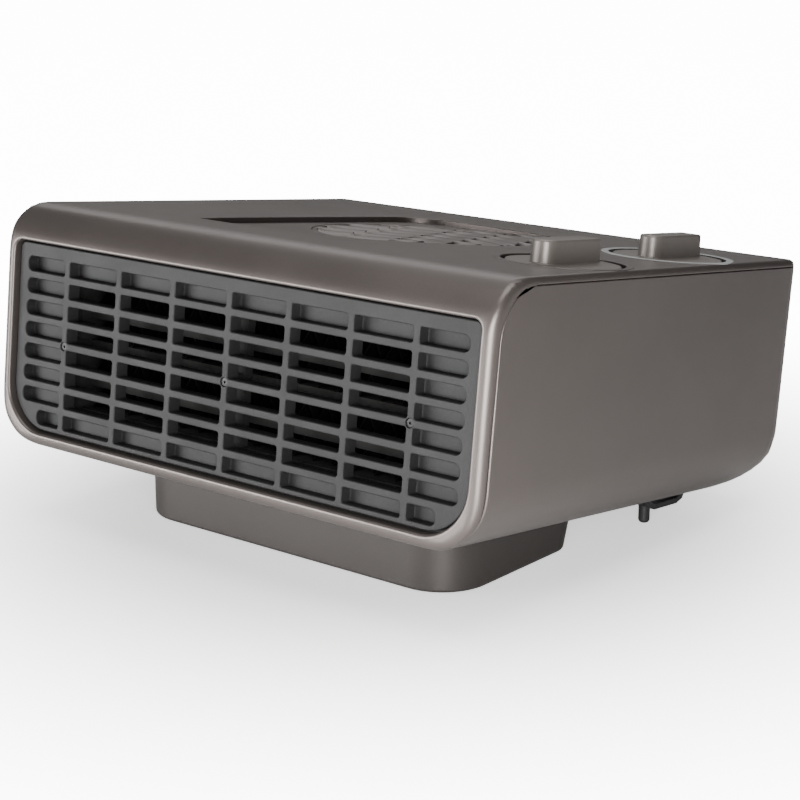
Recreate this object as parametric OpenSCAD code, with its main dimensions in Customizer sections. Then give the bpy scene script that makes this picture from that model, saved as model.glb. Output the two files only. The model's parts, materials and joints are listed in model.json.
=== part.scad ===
// Compact ceramic fan heater: a low box that stands nose-up on a pedestal foot.
// Frame: +Z up, the front outlet faces -Y, X = 0 is the housing's middle plane and
// Z = 0 is the floor. The housing's parts are drawn level, with their own origin at the
// centre of the outlet grille's face, and on_foot() tips them up and sets them on the foot.

/* [Housing] */
// Width of the housing, side to side
body_w = 250; // [230:1:270]
// Distance from the grille's face forward to the nose of the bezel
nose = 3; // [2.5:0.5:4]
// Distance from the grille's face back to the rear wall
body_back = 214; // [204:1:220]
// Height of the top panel above the grille's centre
body_top = 55.5; // [54:0.5:60]
// Depth of the bottom panel below the grille's centre
body_bottom = 43; // [42:0.5:46]
// Thickness of the moulded walls
wall = 2.4; // [2:0.1:3]
// Angle by which the housing points up
pitch = 7; // [4:0.5:9]
// Height of the grille's centre above the floor
grille_height = 75; // [72:0.5:80]
// Radius of the rolled edge between front and top
nose_r = 22; // [18:1:24]
// Radius of the lower side edges
belly_r = 25; // [20:1:28]
// Radius of the rear bottom edge
tail_r = 36; // [30:1:40]
// Width of the seam between the two shells
seam_gap = 0.5; // [0.2:0.1:0.8]

/* [Outlet grille] */
// Columns of cells, the outer two of them blind
cell_columns = 8; // [6:1:8]
// Rows of cells, the top and bottom ones blind
cell_rows = 8; // [6:1:8]
// Spacing of the columns
column_pitch = 30; // [28:0.5:30]
// Spacing of the rows
row_pitch = 9; // [8:0.1:9]
// Thickness of the uprights
mullion_w = 2.9; // [2:0.1:4]
// Thickness of the level bars
bar_h = 3; // [2:0.1:4]
// Thickness of the grille, front to back
grille_t = 6; // [5:0.5:7]
// Depth of the blind pockets
pocket_depth = 5; // [3:0.5:5]

/* [Top intake] */
// Distance of the intake's centre to the right of the middle
intake_x = 6; // [4:1:8]
// Distance of the intake's centre behind the grille's face
intake_y = 114; // [110:1:118]
// Radius of the louvred insert
intake_r = 50; // [46:1:51]
// Spacing of the louvres
louvre_pitch = 9.9; // [8:0.1:12]
// Direction of the louvres, seen from above
louvre_angle = -30; // [-40:1:0]
// Direction of the ribs under the louvres, seen from above
rib_angle = 110; // [100:1:120]
// Spacing of the ribs
rib_pitch = 21.5; // [18:0.5:24]
// Depth of the scoop at its left wall
scoop_depth = 2.1; // [1:0.1:2.2]

/* [Controls] */
// Distance of both knobs to the right of the middle
knob_x = 97; // [94:0.5:97]
// Distance of the selector knob behind the grille's face
selector_y = 77; // [76:1:84]
// Distance of the thermostat knob behind the grille's face
thermostat_y = 152; // [140:1:154]
// Radius of a knob's disc
knob_r = 22; // [20:0.1:22.6]
// Length of a knob's grip
grip_l = 35.5; // [28:0.5:38]
// Width of a knob's grip
grip_w = 11; // [9:0.5:13]
// Height of a knob's grip above its disc
grip_h = 9; // [7:0.5:11]
// Radius of the control shafts
shaft_r = 3; // [2.5:0.1:3]

/* [Foot] */
// Distance from the middle plane to the foot's left side
foot_left = 77.5; // [70:0.5:82]
// Distance from the middle plane to the foot's right side
foot_right = 90.5; // [80:0.5:92]
// Distance of the foot's front behind the grille
foot_front = 24.5; // [20:0.5:30]
// Length of the foot on the floor
foot_depth = 78.5; // [70:0.5:82]
// Radius of the foot's upright corners
foot_r = 21; // [14:1:22]

/* [Fan] */
// Radius of the fan wheel
wheel_r = 44; // [40:1:46]
// Height of the fan wheel's blades
blade_h = 36; // [30:1:38]
// Number of blades
blades = 24; // [16:1:28]

/* [Tip-over lever] */
// Distance of the lever to the right of the middle
lever_x = 95.7; // [93:0.1:96]
// Width of the lever
lever_w = 6; // [5:0.5:7]
// Radius of the lever's floor peg
peg_r = 2.4; // [2:0.1:3]

/* [Hidden] */
$fn = 64;

bronze = [0.40, 0.37, 0.35];
pedestal_bronze = [0.37, 0.35, 0.33];
charcoal = [0.30, 0.30, 0.30];
knob_bronze = [0.52, 0.48, 0.45];
silver_grey = [0.55, 0.56, 0.55];
black = [0.10, 0.10, 0.10];
steel = [0.66, 0.67, 0.68];
ivory = [0.85, 0.82, 0.74];

half_w = body_w / 2;
inner_floor = -body_bottom + wall;
inner_top = body_top - wall;
edge_r = 2.4;              // top side edges
sill_r = 5;                // lower front edge
ridge_r = 6;               // rear top edge
front_corner_r = 6;        // upright front corners
rear_corner_r = 9;         // upright rear corners
over = 1;                  // how far a cut runs past the face it opens

// The housing's place over the floor: centred front to back once it is tipped up
reach_front = (sill_r - nose) * cos(pitch) + (sill_r - body_bottom) * sin(pitch) - sill_r;
reach_rear = (body_back - ridge_r) * cos(pitch) + (body_top - ridge_r) * sin(pitch) + ridge_r;
grille_y = -(reach_front + reach_rear) / 2;

// Seam between the shells, seen from the side
seam_y = 1.5;
seam_z = body_top - 2.9;
seam_r = nose_r - 2.5;

// Opening in the bezel
opening_half = half_w - 5.7;
opening_low = -body_bottom + 5.5;
opening_high = body_top - 14.6;
opening_top_r = 4;
opening_low_r = 20;

// Cells of the outlet grille
cell_w = column_pitch - mullion_w;
cell_h = row_pitch - bar_h;
cell_r = 1;
end_cell_w = 22;
end_cell_r = 2.6;
corner_cell_w = 13;
grille_gap = 0.9;
grille_screw_x = column_pitch * (cell_columns / 2 - 1);

// Scoop in the top panel
scoop_left = -54;
scoop_right = 36;
scoop_front = 38;
scoop_back = 170;
scoop_ramp = 13;
scoop_tilt = atan(scoop_depth / (scoop_right - scoop_left));
ramp_tilt = atan(scoop_depth / scoop_ramp);
pad_t = 2.6;
insert_t = 3;
rib_w = 2.2;
rib_offset = 5.4 - rib_w / 2;

// Controls
disc_top = body_top - 0.2;
disc_t = 2.4;
knob_gap = 1.7;
ring_w = 3;
ring_t = 1.7;
cup_floor = body_top - 5.3;
cup_t = 2.4;
bushing_r = 5;
control_top = 42;
nut_t = 1.8;
run_clearance = 0.05;
shaft_bottom = control_top - 8;
shaft_top = disc_top + grip_h - 2.4;

// Joining screws
front_boss = [96.4, 38];
rear_boss = [82, 173];
bosses = [for (p = [front_boss, rear_boss], s = [-1, 1]) [s * p[0], p[1]]];
boss_r = 4.5;
boss_split = 0;
joint_head_r = 3.4;
joint_head_depth = 22;
joint_screw_l = 40;

// Rear service cover
cover_half = 66;
cover_low = -4;
cover_high = 42;
cover_t = 2;
cover_play = 0.3;
cover_inset = 4;           // from the cover's edges to its screws
rebate = 6;
cover_slot_w = 3.2;
cover_slot_h = 8.8;
cover_slot_pitch = [10, 12];

// Heating element
frame_half = 97;
frame_h = 30;
frame_front = 9;
frame_back = 29;
element_half = 89;
element_h = 25.5;
bar_count = 3;
ptc_h = 5;
fin_rows = bar_count + 1;
fin_h = (2 * element_h - bar_count * ptc_h) / fin_rows;
element_front = 13.5;
element_back = 27;
fin_pitch = 5;
fin_t = 0.4;

// Blower
scroll_r = 52;
scroll_low = -14;
scroll_high = 30;
duct_t = 2;
mouth_half = 92;
mouth_low = -26;
mouth_y = 29.2;
wheel_low = -12;
scroll_posts = [[-44, 148], [56, 148], [-50, 82], [62, 82]];

// Motor
stack_low = -33;
stack_high = -23;
bore_r = 14;
motor_shaft_r = 2;
bush_r = 4;
bracket_t = 2;
motor_screw_y = 18.5;

// Foot and its fasteners
pad_r = 6;
pad_proud = 0.8;
foot_lean = 5.1 / 13.5;    // how far the rear face leans back for each mm of height
foot_wall = 2.5;
foot_fix_x = [15 - foot_left, foot_right - 15];
foot_screw_y = [foot_front + 32, foot_front + foot_depth - 24];
foot_pad_y = [foot_front + 14, foot_front + foot_depth - 9];

// Tip-over lever, in the floor's frame measured from the grille's centre line
lever_pivot = [133.7, 23.3];
peg_y = 148.8;
peg_tip = 0.3;
peg_top = 8.6;
tail_y = 174.5;
tail_top = 25.4;
lever_eye_r = 3.4;
slot_from = 141;
slot_to = 185;
slot_play = 0.8;
ear_t = 3;
ear_play = 0.3;
strip = 2.6;
pin_r = 1.25;
lever_play = 0.05;
leaf_pivot = [152, 26];
leaf_l = 24;
leaf_t = 0.5;

// Cord inlet
inlet = [-98, 3];
inlet_bore_r = 3.3;
inlet_neck_r = 6;
inlet_flange_r = 8.5;
inlet_flange_t = 2;
inlet_collar_t = 3.6;

// Terminal block: its low front left corner, size and the spacing of its ways
block_at = [-98, 146];
block_size = [32, 18, 14];
block_foot_t = 3;
way_pitch = 10;
way_h = 5.4;

// ---- placing ----

// Tips the level housing up and sets it over the foot
module on_foot()
    translate([0, grille_y, grille_height])
        rotate([-pitch, 0, 0])
            children();

// The inverse: brings a shape of the floor's frame into the level housing
module from_floor()
    rotate([pitch, 0, 0])
        translate([0, -grille_y, -grille_height])
            children();

// Floor frame, measured back from under the grille's centre
module on_floor()
    translate([0, grille_y, 0])
        children();

// A (y, z) outline drawn out along X
module along_x(x0, x1)
    translate([x0, 0, 0])
        rotate([90, 0, 90])
            linear_extrude(x1 - x0)
                children();

// An (x, z) outline drawn out along Y
module along_y(y0, y1)
    translate([0, y1, 0])
        rotate([90, 0, 0])
            linear_extrude(y1 - y0)
                children();

// An (x, y) outline drawn up along Z
module along_z(z0, z1)
    translate([0, 0, z0])
        linear_extrude(z1 - z0)
            children();

// ---- shared outlines ----

// What a rounded corner leaves out; s points from the corner into the outline
module corner_cut(p, s, r)
    if (r > 0)
        translate(p)
            difference() {
                translate([s[0] > 0 ? -over : -r, s[1] > 0 ? -over : -r])
                    square(r + over);
                translate([s[0] * r, s[1] * r])
                    circle(r);
            }

// A rectangle with its own radius at each corner: low-left, low-right, high-right, high-left
module soft_rect(x0, x1, y0, y1, r)
    difference() {
        translate([x0, y0])
            square([x1 - x0, y1 - y0]);
        corner_cut([x0, y0], [1, 1], r[0]);
        corner_cut([x1, y0], [-1, 1], r[1]);
        corner_cut([x1, y1], [-1, -1], r[2]);
        corner_cut([x0, y1], [1, -1], r[3]);
    }

// The housing's outer form, moved inwards by g
module body_form(g = 0)
    intersection() {
        along_x(-half_w + g, half_w - g)
            soft_rect(-nose + g, body_back - g, -body_bottom + g, body_top - g,
                      [sill_r - g, tail_r - g, ridge_r - g, nose_r - g]);
        along_y(-nose - over, body_back + over)
            soft_rect(-half_w + g, half_w - g, -body_bottom + g, body_top - g,
                      [belly_r - g, belly_r - g, max(edge_r - g, 0), max(edge_r - g, 0)]);
        along_z(-body_bottom - over, body_top + over)
            soft_rect(-half_w + g, half_w - g, -nose + g, body_back - g,
                      [front_corner_r - g, front_corner_r - g, rear_corner_r - g, rear_corner_r - g]);
    }

// The space that belongs to the lower shell, seen from the side
module lower_zone(g = 0)
    along_x(-half_w - over, half_w + over)
        soft_rect(seam_y + g, body_back + 2 * over, -body_bottom - 2 * over, seam_z - g,
                  [0, 0, 0, seam_r - g]);

// The scoop's tilted floor
module on_scoop()
    translate([scoop_right, 0, body_top])
        rotate([0, -scoop_tilt, 0])
            translate([-scoop_right, 0, 0])
                children();

module scoop_outline(g = 0)
    soft_rect(scoop_left - g, scoop_right + g, scoop_front - g, scoop_back + g,
              [6 + g, 6 + g, 20 + g, 14 + g]);

module scoop_cut()
    intersection() {
        along_z(body_top - 8, body_top + over)
            scoop_outline();
        on_scoop()
            translate([-100, 0, 0])
                cube([200, 200, 20]);
        translate([-100, scoop_front, body_top])
            rotate([-ramp_tilt, 0, 0])
                cube([200, 200, 60]);
    }

// Both knob places on the top panel
module at_selector()
    translate([knob_x, selector_y, 0])
        children();

module at_thermostat()
    translate([knob_x, thermostat_y, 0])
        children();

// ---- housing ----

// Top panel, rolled nose and bezel in one moulding
module upper_shell()
    color(bronze)
        on_foot()
            difference() {
                union() {
                    difference() {
                        body_form();
                        body_form(wall);
                        lower_zone();
                    }
                    intersection() {
                        along_z(inner_top - pad_t, inner_top + 0.4)
                            scoop_outline(3);
                        cube([2 * half_w - 2 * wall - 2, 400, 200], center = true);
                    }
                    intersection() {
                        for (y = [selector_y, thermostat_y])
                            translate([knob_x, y, cup_floor - cup_t])
                                cylinder(r = knob_r + knob_gap + ring_w + 1.6,
                                         h = inner_top - cup_floor + cup_t + 0.4);
                        translate([0, 0, -100])
                            cube([half_w - wall - 0.4, 400, 200]);
                    }
                    for (p = bosses)
                        translate([p[0], p[1], boss_split + 0.2])
                            cylinder(r = boss_r, h = inner_top - boss_split);
                }
                along_y(-nose - over, wall)
                    soft_rect(-opening_half, opening_half, opening_low, opening_high,
                              [opening_low_r, opening_low_r, opening_top_r, opening_top_r]);
                scoop_cut();
                on_scoop()
                    translate([intake_x, intake_y, -20])
                        cylinder(r = intake_r + 0.3, h = 40);
                for (y = [selector_y, thermostat_y])
                    translate([knob_x, y, 0]) {
                        translate([0, 0, cup_floor])
                            cylinder(r = knob_r + knob_gap, h = 20);
                        translate([0, 0, body_top - ring_t + 0.2])
                            cylinder(r = knob_r + knob_gap + ring_w, h = 20);
                        translate([0, 0, cup_floor - 10])
                            cylinder(r = bushing_r + 0.2, h = 20);
                    }
                for (p = bosses)
                    translate([p[0], p[1], boss_split - over])
                        cylinder(r = 1.6, h = 24);
            }

// Sides, bottom and rear wall in one moulding, with the posts and ears inside
module lower_shell()
    color(bronze)
        on_foot()
            difference() {
                union() {
                    intersection() {
                        difference() {
                            body_form();
                            body_form(wall);
                        }
                        lower_zone(seam_gap);
                    }
                    // thicker rear wall round the service opening
                    along_y(body_back - 4.4, body_back - wall + 0.4)
                        soft_rect(-cover_half - 4, cover_half + 4, cover_low - 4, cover_high + 4,
                                  [5, 5, 5, 5]);
                    for (p = bosses)
                        translate([p[0], p[1], inner_floor - 0.4])
                            cylinder(r = boss_r, h = boss_split - inner_floor + 0.4);
                    for (p = scroll_posts)
                        translate([p[0], p[1], inner_floor - 0.4])
                            cylinder(r = 3.5, h = scroll_low - duct_t - inner_floor + 0.2);
                    for (s = [-1, 1])
                        translate([s * 93, (frame_front + frame_back) / 2, inner_floor - 0.4])
                            cylinder(r = 3.5, h = -frame_h - inner_floor + 0.2);
                    foot_screw_posts();
                    lever_ears();
                    switch_rib();
                    translate([block_at[0] - 2, block_at[1] - 2, inner_floor - 0.4])
                        cube([block_size[0] + 4, block_size[1] + 4, block_foot_t]);
                }
                // service opening and its rebate
                along_y(body_back - 10, body_back + over)
                    soft_rect(-cover_half + rebate, cover_half - rebate,
                              cover_low + rebate, cover_high - rebate, [3, 3, 3, 3]);
                along_y(body_back - cover_t - 0.2, body_back + over)
                    soft_rect(-cover_half - cover_play, cover_half + cover_play,
                              cover_low - cover_play, cover_high + cover_play, [5, 5, 5, 5]);
                rear_cover_holes(1.1, body_back - 4.8);
                // joining screws, driven from below
                for (p = bosses)
                    translate([p[0], p[1], -body_bottom - over]) {
                        cylinder(r = 1.8, h = 60);
                        cylinder(r = joint_head_r, h = joint_head_depth);
                    }
                from_floor()
                    for (x = foot_fix_x, y = foot_screw_y)
                        translate([x, grille_y + y, 0])
                            cylinder(r = 1.65, h = 41);
                lever_slot();
                along_x(lever_x - 9, lever_x + 9)
                    from_floor_2d()
                        translate(lever_pivot)
                            circle(pin_r);
                // cord inlet
                along_y(body_back - 10, body_back + over)
                    translate(inlet)
                        circle(inlet_neck_r + 0.1);
            }

// The inverse of on_foot() for a (y, z) outline
module from_floor_2d()
    rotate(pitch)
        translate([0, -grille_height])
            children();

module foot_screw_posts()
    intersection() {
        from_floor()
            for (x = foot_fix_x, y = foot_screw_y)
                translate([x, grille_y + y, 0])
                    cylinder(r = 4.5, h = 40);
        translate([-half_w, 0, inner_floor - 0.4])
            cube([body_w, 200, 40]);
    }

// Ears that carry the tip-over lever's pin
module lever_ears()
    for (x = [lever_x - lever_w / 2 - ear_play - ear_t, lever_x + lever_w / 2 + ear_play])
        along_x(x, x + ear_t)
            difference() {
                from_floor_2d()
                    translate([lever_pivot[0] - 4.5, lever_pivot[1] - 14])
                        soft_rect(0, 9, 0, 18.5, [0, 0, 4.4, 4.4]);
                translate([100, -body_bottom - 20])
                    square([100, 20 + wall - 0.4]);
            }

// Upright rib that the tip-over switch is fixed to
module switch_rib()
    along_x(lever_x + lever_w / 2 + 0.6, lever_x + lever_w / 2 + 3)
        difference() {
            from_floor_2d()
                translate([152, 8])
                    square([24, 33]);
            translate([100, -body_bottom - 20])
                square([100, 20 + wall - 0.4]);
        }

module lever_slot()
    translate([lever_x - lever_w / 2 - slot_play, slot_from, -body_bottom - over])
        cube([lever_w + 2 * slot_play, slot_to - slot_from, wall + 2.5 * over]);

function cover_screw_places() = [
    for (x = [-cover_half + cover_inset, cover_half - cover_inset],
         z = [cover_low + cover_inset, cover_high - cover_inset]) [x, z]
];

module rear_cover_holes(r, y0)
    for (p = cover_screw_places())
        translate([p[0], y0, p[1]])
            rotate([-90, 0, 0])
                cylinder(r = r, h = 12);

// Slotted service cover in the rear wall
module rear_cover()
    color(bronze)
        on_foot()
            difference() {
                along_y(body_back - cover_t, body_back)
                    soft_rect(-cover_half, cover_half, cover_low, cover_high, [4.7, 4.7, 4.7, 4.7]);
                rear_cover_holes(1.5, body_back - 8);
                for (i = [-5 : 5], j = [-1 : 1])
                    along_y(body_back - 5, body_back + over)
                        translate([i * cover_slot_pitch[0],
                                   (cover_low + cover_high) / 2 + j * cover_slot_pitch[1]])
                            soft_rect(-cover_slot_w / 2, cover_slot_w / 2,
                                      -cover_slot_h / 2, cover_slot_h / 2, [1.5, 1.5, 1.5, 1.5]);
            }

module rear_cover_screws()
    color(steel)
        on_foot()
            for (p = cover_screw_places())
                translate([p[0], body_back, p[1]])
                    rotate([90, 0, 0])
                        difference() {
                            union() {
                                translate([0, 0, -1.2])
                                    cylinder(r = 2.6, h = 1.2);
                                cylinder(r = 1.05, h = 4.4);
                            }
                            translate([-2, -0.4, -1.3])
                                cube([4, 0.8, 0.8]);
                        }

// Four long screws that join the shells from below
module housing_screws()
    color(steel)
        on_foot()
            for (p = bosses)
                translate([p[0], p[1], -body_bottom - over + joint_head_depth])
                    difference() {
                        union() {
                            translate([0, 0, -2])
                                cylinder(r = 3, h = 2);
                            cylinder(r = 1.5, h = joint_screw_l);
                        }
                        translate([-2.4, -0.5, -2.1])
                            cube([4.8, 1, 1]);
                        translate([-0.5, -2.4, -2.1])
                            cube([1, 4.8, 1]);
                    }

// ---- outlet grille ----

// One cell's outline; the outer ones are short, with round outer ends
module cell_outline(c, r) {
    x = (c - (cell_columns - 1) / 2) * column_pitch;
    z = ((cell_rows - 1) / 2 - r) * row_pitch;
    edge = c == 0 || c == cell_columns - 1;
    corner = edge && r == cell_rows - 1;
    w = corner ? corner_cell_w : end_cell_w;
    translate([x, z])
        if (!edge)
            soft_rect(-cell_w / 2, cell_w / 2, -cell_h / 2, cell_h / 2,
                      [cell_r, cell_r, cell_r, cell_r]);
        else if (c == 0)
            soft_rect(cell_w / 2 - w, cell_w / 2, -cell_h / 2, cell_h / 2,
                      [end_cell_r, cell_r, cell_r, end_cell_r]);
        else
            soft_rect(-cell_w / 2, w - cell_w / 2, -cell_h / 2, cell_h / 2,
                      [cell_r, end_cell_r, end_cell_r, cell_r]);
}

function is_blind(c, r) = c == 0 || r == 0 || c == cell_columns - 1 || r == cell_rows - 1;

// Lattice of open cells in a border of blind pockets
module front_grille()
    color(charcoal)
        on_foot()
            difference() {
                union() {
                    along_y(0, grille_t)
                        soft_rect(-opening_half + grille_gap, opening_half - grille_gap,
                                  opening_low + grille_gap, opening_high - grille_gap,
                                  [opening_low_r - 1, opening_low_r - 1, 3, 3]);
                    along_y(grille_t - 2, grille_t)
                        soft_rect(-opening_half - 1.8, opening_half + 1.8,
                                  opening_low - 1.8, opening_high + 1.8,
                                  [opening_low_r, opening_low_r, 4, 4]);
                }
                for (c = [0 : cell_columns - 1], r = [0 : cell_rows - 1])
                    along_y(-over, is_blind(c, r) ? pocket_depth : grille_t + over)
                        cell_outline(c, r);
                for (x = [-grille_screw_x, 0, grille_screw_x])
                    translate([x, 0, 0])
                        rotate([-90, 0, 0]) {
                            translate([0, 0, -over])
                                cylinder(r = 1.9, h = over + 1.4);
                            cylinder(r = 1.15, h = grille_t + over);
                        }
            }

module grille_screws()
    color(steel)
        on_foot()
            for (x = [-grille_screw_x, 0, grille_screw_x])
                translate([x, 0.5, 0])
                    rotate([-90, 0, 0])
                        difference() {
                            union() {
                                cylinder(r = 1.6, h = 0.9);
                                cylinder(r = 1, h = 13);
                            }
                            translate([0, 0, -0.1])
                                cylinder(r = 0.6, h = 0.7, $fn = 6);
                        }

// ---- top intake ----

// Louvred insert in the scoop: a ring, ribs and tilted blades
module top_intake_grille()
    color(bronze)
        on_foot()
            on_scoop()
                translate([intake_x, intake_y, -insert_t]) {
                    difference() {
                        cylinder(r = intake_r, h = insert_t - 0.05);
                        translate([0, 0, -over])
                            cylinder(r = intake_r - 3, h = insert_t + 2 * over);
                    }
                    intersection() {
                        cylinder(r = intake_r - 2.6, h = insert_t + 0.6);
                        union() {
                            for (i = [-2 : 1])
                                rotate(rib_angle)
                                    translate([-intake_r, i * rib_pitch + rib_offset, 0])
                                        cube([2 * intake_r, rib_w, 2.2]);
                            for (i = [-4 : 4])
                                rotate(louvre_angle)
                                    translate([-intake_r, i * louvre_pitch, 1.4])
                                        rotate([11, 0, 0])
                                            translate([0, -3.6, -0.7])
                                                cube([2 * intake_r, 7.2, 1.4]);
                        }
                    }
                }

// ---- foot ----

module foot_outline(g = 0)
    soft_rect(-foot_left + g, foot_right - g, foot_front + g, foot_front + foot_depth + 14 - g,
              [foot_r - g, foot_r - g, 12 - g, 12 - g]);

// Side profile of the foot: upright front, rear face leaning back
module foot_profile(g = 0, low = 0)
    polygon([
        [foot_front + g, low],
        [foot_front + foot_depth - g + foot_lean * low, low],
        [foot_front + foot_depth - g + foot_lean * 34, 34],
        [foot_front + g, 34]
    ]);

// Everything above the housing's flat bottom
module above_bottom()
    translate([0, 0, grille_height])
        rotate([-pitch, 0, 0])
            translate([-200, -100, -body_bottom])
                cube([400, 400, 200]);

module foot_places(xs, ys)
    for (x = xs, y = ys)
        translate([x, y, 0])
            children();

// Hollow pedestal, open towards the housing
module foot()
    color(pedestal_bronze)
        on_floor()
            difference() {
                union() {
                    difference() {
                        intersection() {
                            along_x(-200, 200)
                                foot_profile(0, pad_proud);
                            along_z(0, 40)
                                foot_outline();
                        }
                        intersection() {
                            along_x(-200, 200)
                                foot_profile(foot_wall, pad_proud + 3);
                            along_z(0, 40)
                                foot_outline(foot_wall);
                        }
                    }
                    foot_places(foot_fix_x, foot_screw_y)
                        translate([0, 0, pad_proud])
                            cylinder(r = 6, h = 34);
                }
                above_bottom();
                foot_places(foot_fix_x, foot_screw_y) {
                    translate([0, 0, -over])
                        cylinder(r = 4, h = 9);
                    cylinder(r = 1.8, h = 40);
                }
                foot_places(foot_fix_x, foot_pad_y)
                    translate([0, 0, -over])
                        cylinder(r = pad_r + 0.2, h = over + pad_proud + 1.4);
            }

module foot_screws()
    color(steel)
        on_floor()
            foot_places(foot_fix_x, foot_screw_y)
                translate([0, 0, 8])
                    difference() {
                        union() {
                            translate([0, 0, -2.2])
                                cylinder(r = 3.3, h = 2.2);
                            cylinder(r = 1.6, h = 31);
                        }
                        translate([-2.6, -0.5, -2.3])
                            cube([5.2, 1, 1.1]);
                        translate([-0.5, -2.6, -2.3])
                            cube([1, 5.2, 1.1]);
                    }

module foot_pads()
    color(black)
        on_floor()
            foot_places(foot_fix_x, foot_pad_y)
                cylinder(r = pad_r, h = pad_proud + 1.4);

// ---- controls ----

// Flat disc with a straight grip whose front end is round
module knob()
    difference() {
        union() {
            translate([0, 0, disc_top - disc_t])
                cylinder(r = knob_r, h = disc_t);
            along_z(disc_top - 0.5, disc_top + grip_h)
                soft_rect(-grip_w / 2, grip_w / 2, -grip_l / 2, grip_l / 2, [5.4, 5.4, 1.6, 1.6]);
        }
        translate([0, 0, disc_top - disc_t - over])
            cylinder(r = shaft_r, h = shaft_top - disc_top + disc_t + over);
    }

module selector_knob()
    color(knob_bronze)
        on_foot()
            at_selector()
                knob();

module thermostat_knob()
    color(knob_bronze)
        on_foot()
            at_thermostat()
                knob();

// Flat trim ring round a knob
module dial_ring()
    translate([0, 0, body_top - ring_t + 0.2])
        difference() {
            cylinder(r = knob_r + knob_gap + ring_w, h = ring_t);
            translate([0, 0, -over])
                cylinder(r = knob_r + knob_gap, h = ring_t + 2 * over);
        }

module selector_dial_ring()
    color(bronze)
        on_foot()
            at_selector()
                dial_ring();

module thermostat_dial_ring()
    color(silver_grey)
        on_foot()
            at_thermostat()
                dial_ring();

// Threaded bushing under a knob, with the bore its shaft turns in
module bushing()
    translate([0, 0, control_top - 0.4])
        cylinder(r = bushing_r, h = cup_floor + nut_t + 0.6 - control_top + 0.4);

module shaft_bore()
    translate([0, 0, shaft_bottom - 0.1])
        cylinder(r = shaft_r + run_clearance, h = 40);

// Rotary switch: moulded body, bushing and a row of tabs
module selector_switch()
    color(ivory)
        on_foot()
            at_selector()
                difference() {
                    union() {
                        along_z(control_top - 16, control_top)
                            soft_rect(-14, 14, -14, 14, [3, 3, 3, 3]);
                        bushing();
                        for (i = [-1.5 : 1.5])
                            translate([i * 6 - 1.6, -0.4, control_top - 23])
                                cube([3.2, 0.8, 8]);
                    }
                    shaft_bore();
                }

// Thermostat: body, bushing, bimetal strip and its contact tabs
module thermostat_body()
    color(ivory)
        on_foot()
            at_thermostat()
                difference() {
                    union() {
                        along_z(control_top - 12, control_top)
                            soft_rect(-12, 12, -12, 12, [3, 3, 3, 3]);
                        bushing();
                        translate([-4, -22, control_top - 14.2])
                            cube([8, 40, 1.4]);
                        for (s = [-1, 1])
                            translate([s * 6 - 2, 14, control_top - 13])
                                cube([4, 8, 0.8]);
                        translate([-8, 11, control_top - 13])
                            cube([16, 4, 4]);
                        translate([-4, -6, control_top - 13])
                            cube([8, 12, 1.4]);
                    }
                    shaft_bore();
                }

module control_shaft()
    translate([0, 0, shaft_bottom])
        cylinder(r = shaft_r, h = shaft_top - shaft_bottom);

module selector_shaft()
    color(steel)
        on_foot()
            at_selector()
                control_shaft();

module thermostat_shaft()
    color(steel)
        on_foot()
            at_thermostat()
                control_shaft();

// Hex nuts that clamp both bushings to the top panel
module control_nuts()
    color(steel)
        on_foot()
            for (y = [selector_y, thermostat_y])
                translate([knob_x, y, cup_floor])
                    difference() {
                        cylinder(r = 8, h = nut_t, $fn = 6);
                        translate([0, 0, -over])
                            cylinder(r = bushing_r, h = nut_t + 2 * over);
                    }

// ---- heating element ----

// Heat-proof frame with a centre rib that takes the middle grille screw
module heater_frame()
    color(ivory)
        on_foot()
            difference() {
                union() {
                    difference() {
                        along_y(frame_front, frame_back)
                            soft_rect(-frame_half, frame_half, -frame_h, frame_h, [3, 3, 3, 3]);
                        along_y(frame_front - over, frame_back + over)
                            soft_rect(-element_half, element_half, -element_h, element_h, [1, 1, 1, 1]);
                    }
                    translate([-2.5, frame_front, -element_h - 0.5])
                        cube([5, 4, 2 * element_h + 1]);
                    for (x = [-grille_screw_x, 0, grille_screw_x])
                        translate([x, grille_t, 0])
                            rotate([-90, 0, 0])
                                cylinder(r = 3, h = frame_front - grille_t + 3);
                }
                for (x = [-grille_screw_x, 0, grille_screw_x])
                    translate([x, 0, 0])
                        rotate([-90, 0, 0])
                            cylinder(r = 1.05, h = 15);
            }

function ptc_z(i) = -element_h + fin_h + ptc_h / 2 + i * (fin_h + ptc_h);

// Bars of heating ceramic in flat sleeves
module ceramic_bars()
    color([0.80, 0.78, 0.74])
        on_foot()
            for (i = [0 : bar_count - 1])
                translate([-element_half, element_front, ptc_z(i) - ptc_h / 2])
                    cube([2 * element_half, element_back - element_front, ptc_h]);

// Zigzag fin strip between two bars, as an (x, z) outline
module fin_strip() {
    n = floor(2 * element_half / fin_pitch) - 1;
    half = n * fin_pitch / 2;
    rise = [for (i = [0 : n]) [i * fin_pitch - half, i % 2 == 0 ? 0 : fin_h - fin_t]];
    polygon(concat(rise, [for (i = [n : -1 : 0]) rise[i] + [0, fin_t]]));
}

module heater_fins()
    color([0.75, 0.76, 0.77])
        on_foot()
            for (i = [0 : fin_rows - 1])
                along_y(element_front + 0.5, element_back - 0.5)
                    translate([0, -element_h + i * (fin_h + ptc_h)])
                        fin_strip();

// Push-on tabs at the right ends of the ceramic bars
module electrode_tabs()
    color([0.80, 0.66, 0.32])
        on_foot()
            for (i = [0 : bar_count - 1])
                translate([element_half - 12, element_back, ptc_z(i) - 0.4])
                    cube([6.3, 7, 0.8]);

// Bimetal cut-out clipped to the frame's top
module thermal_cutout()
    color([0.2, 0.2, 0.2])
        on_foot()
            translate([-60, (frame_front + frame_back) / 2, frame_h]) {
                cylinder(r = 8, h = 5);
                for (s = [-1, 1])
                    translate([s * 11 - 3, -2, 1])
                        cube([6, 4, 0.8]);
            }

// ---- blower ----

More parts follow.
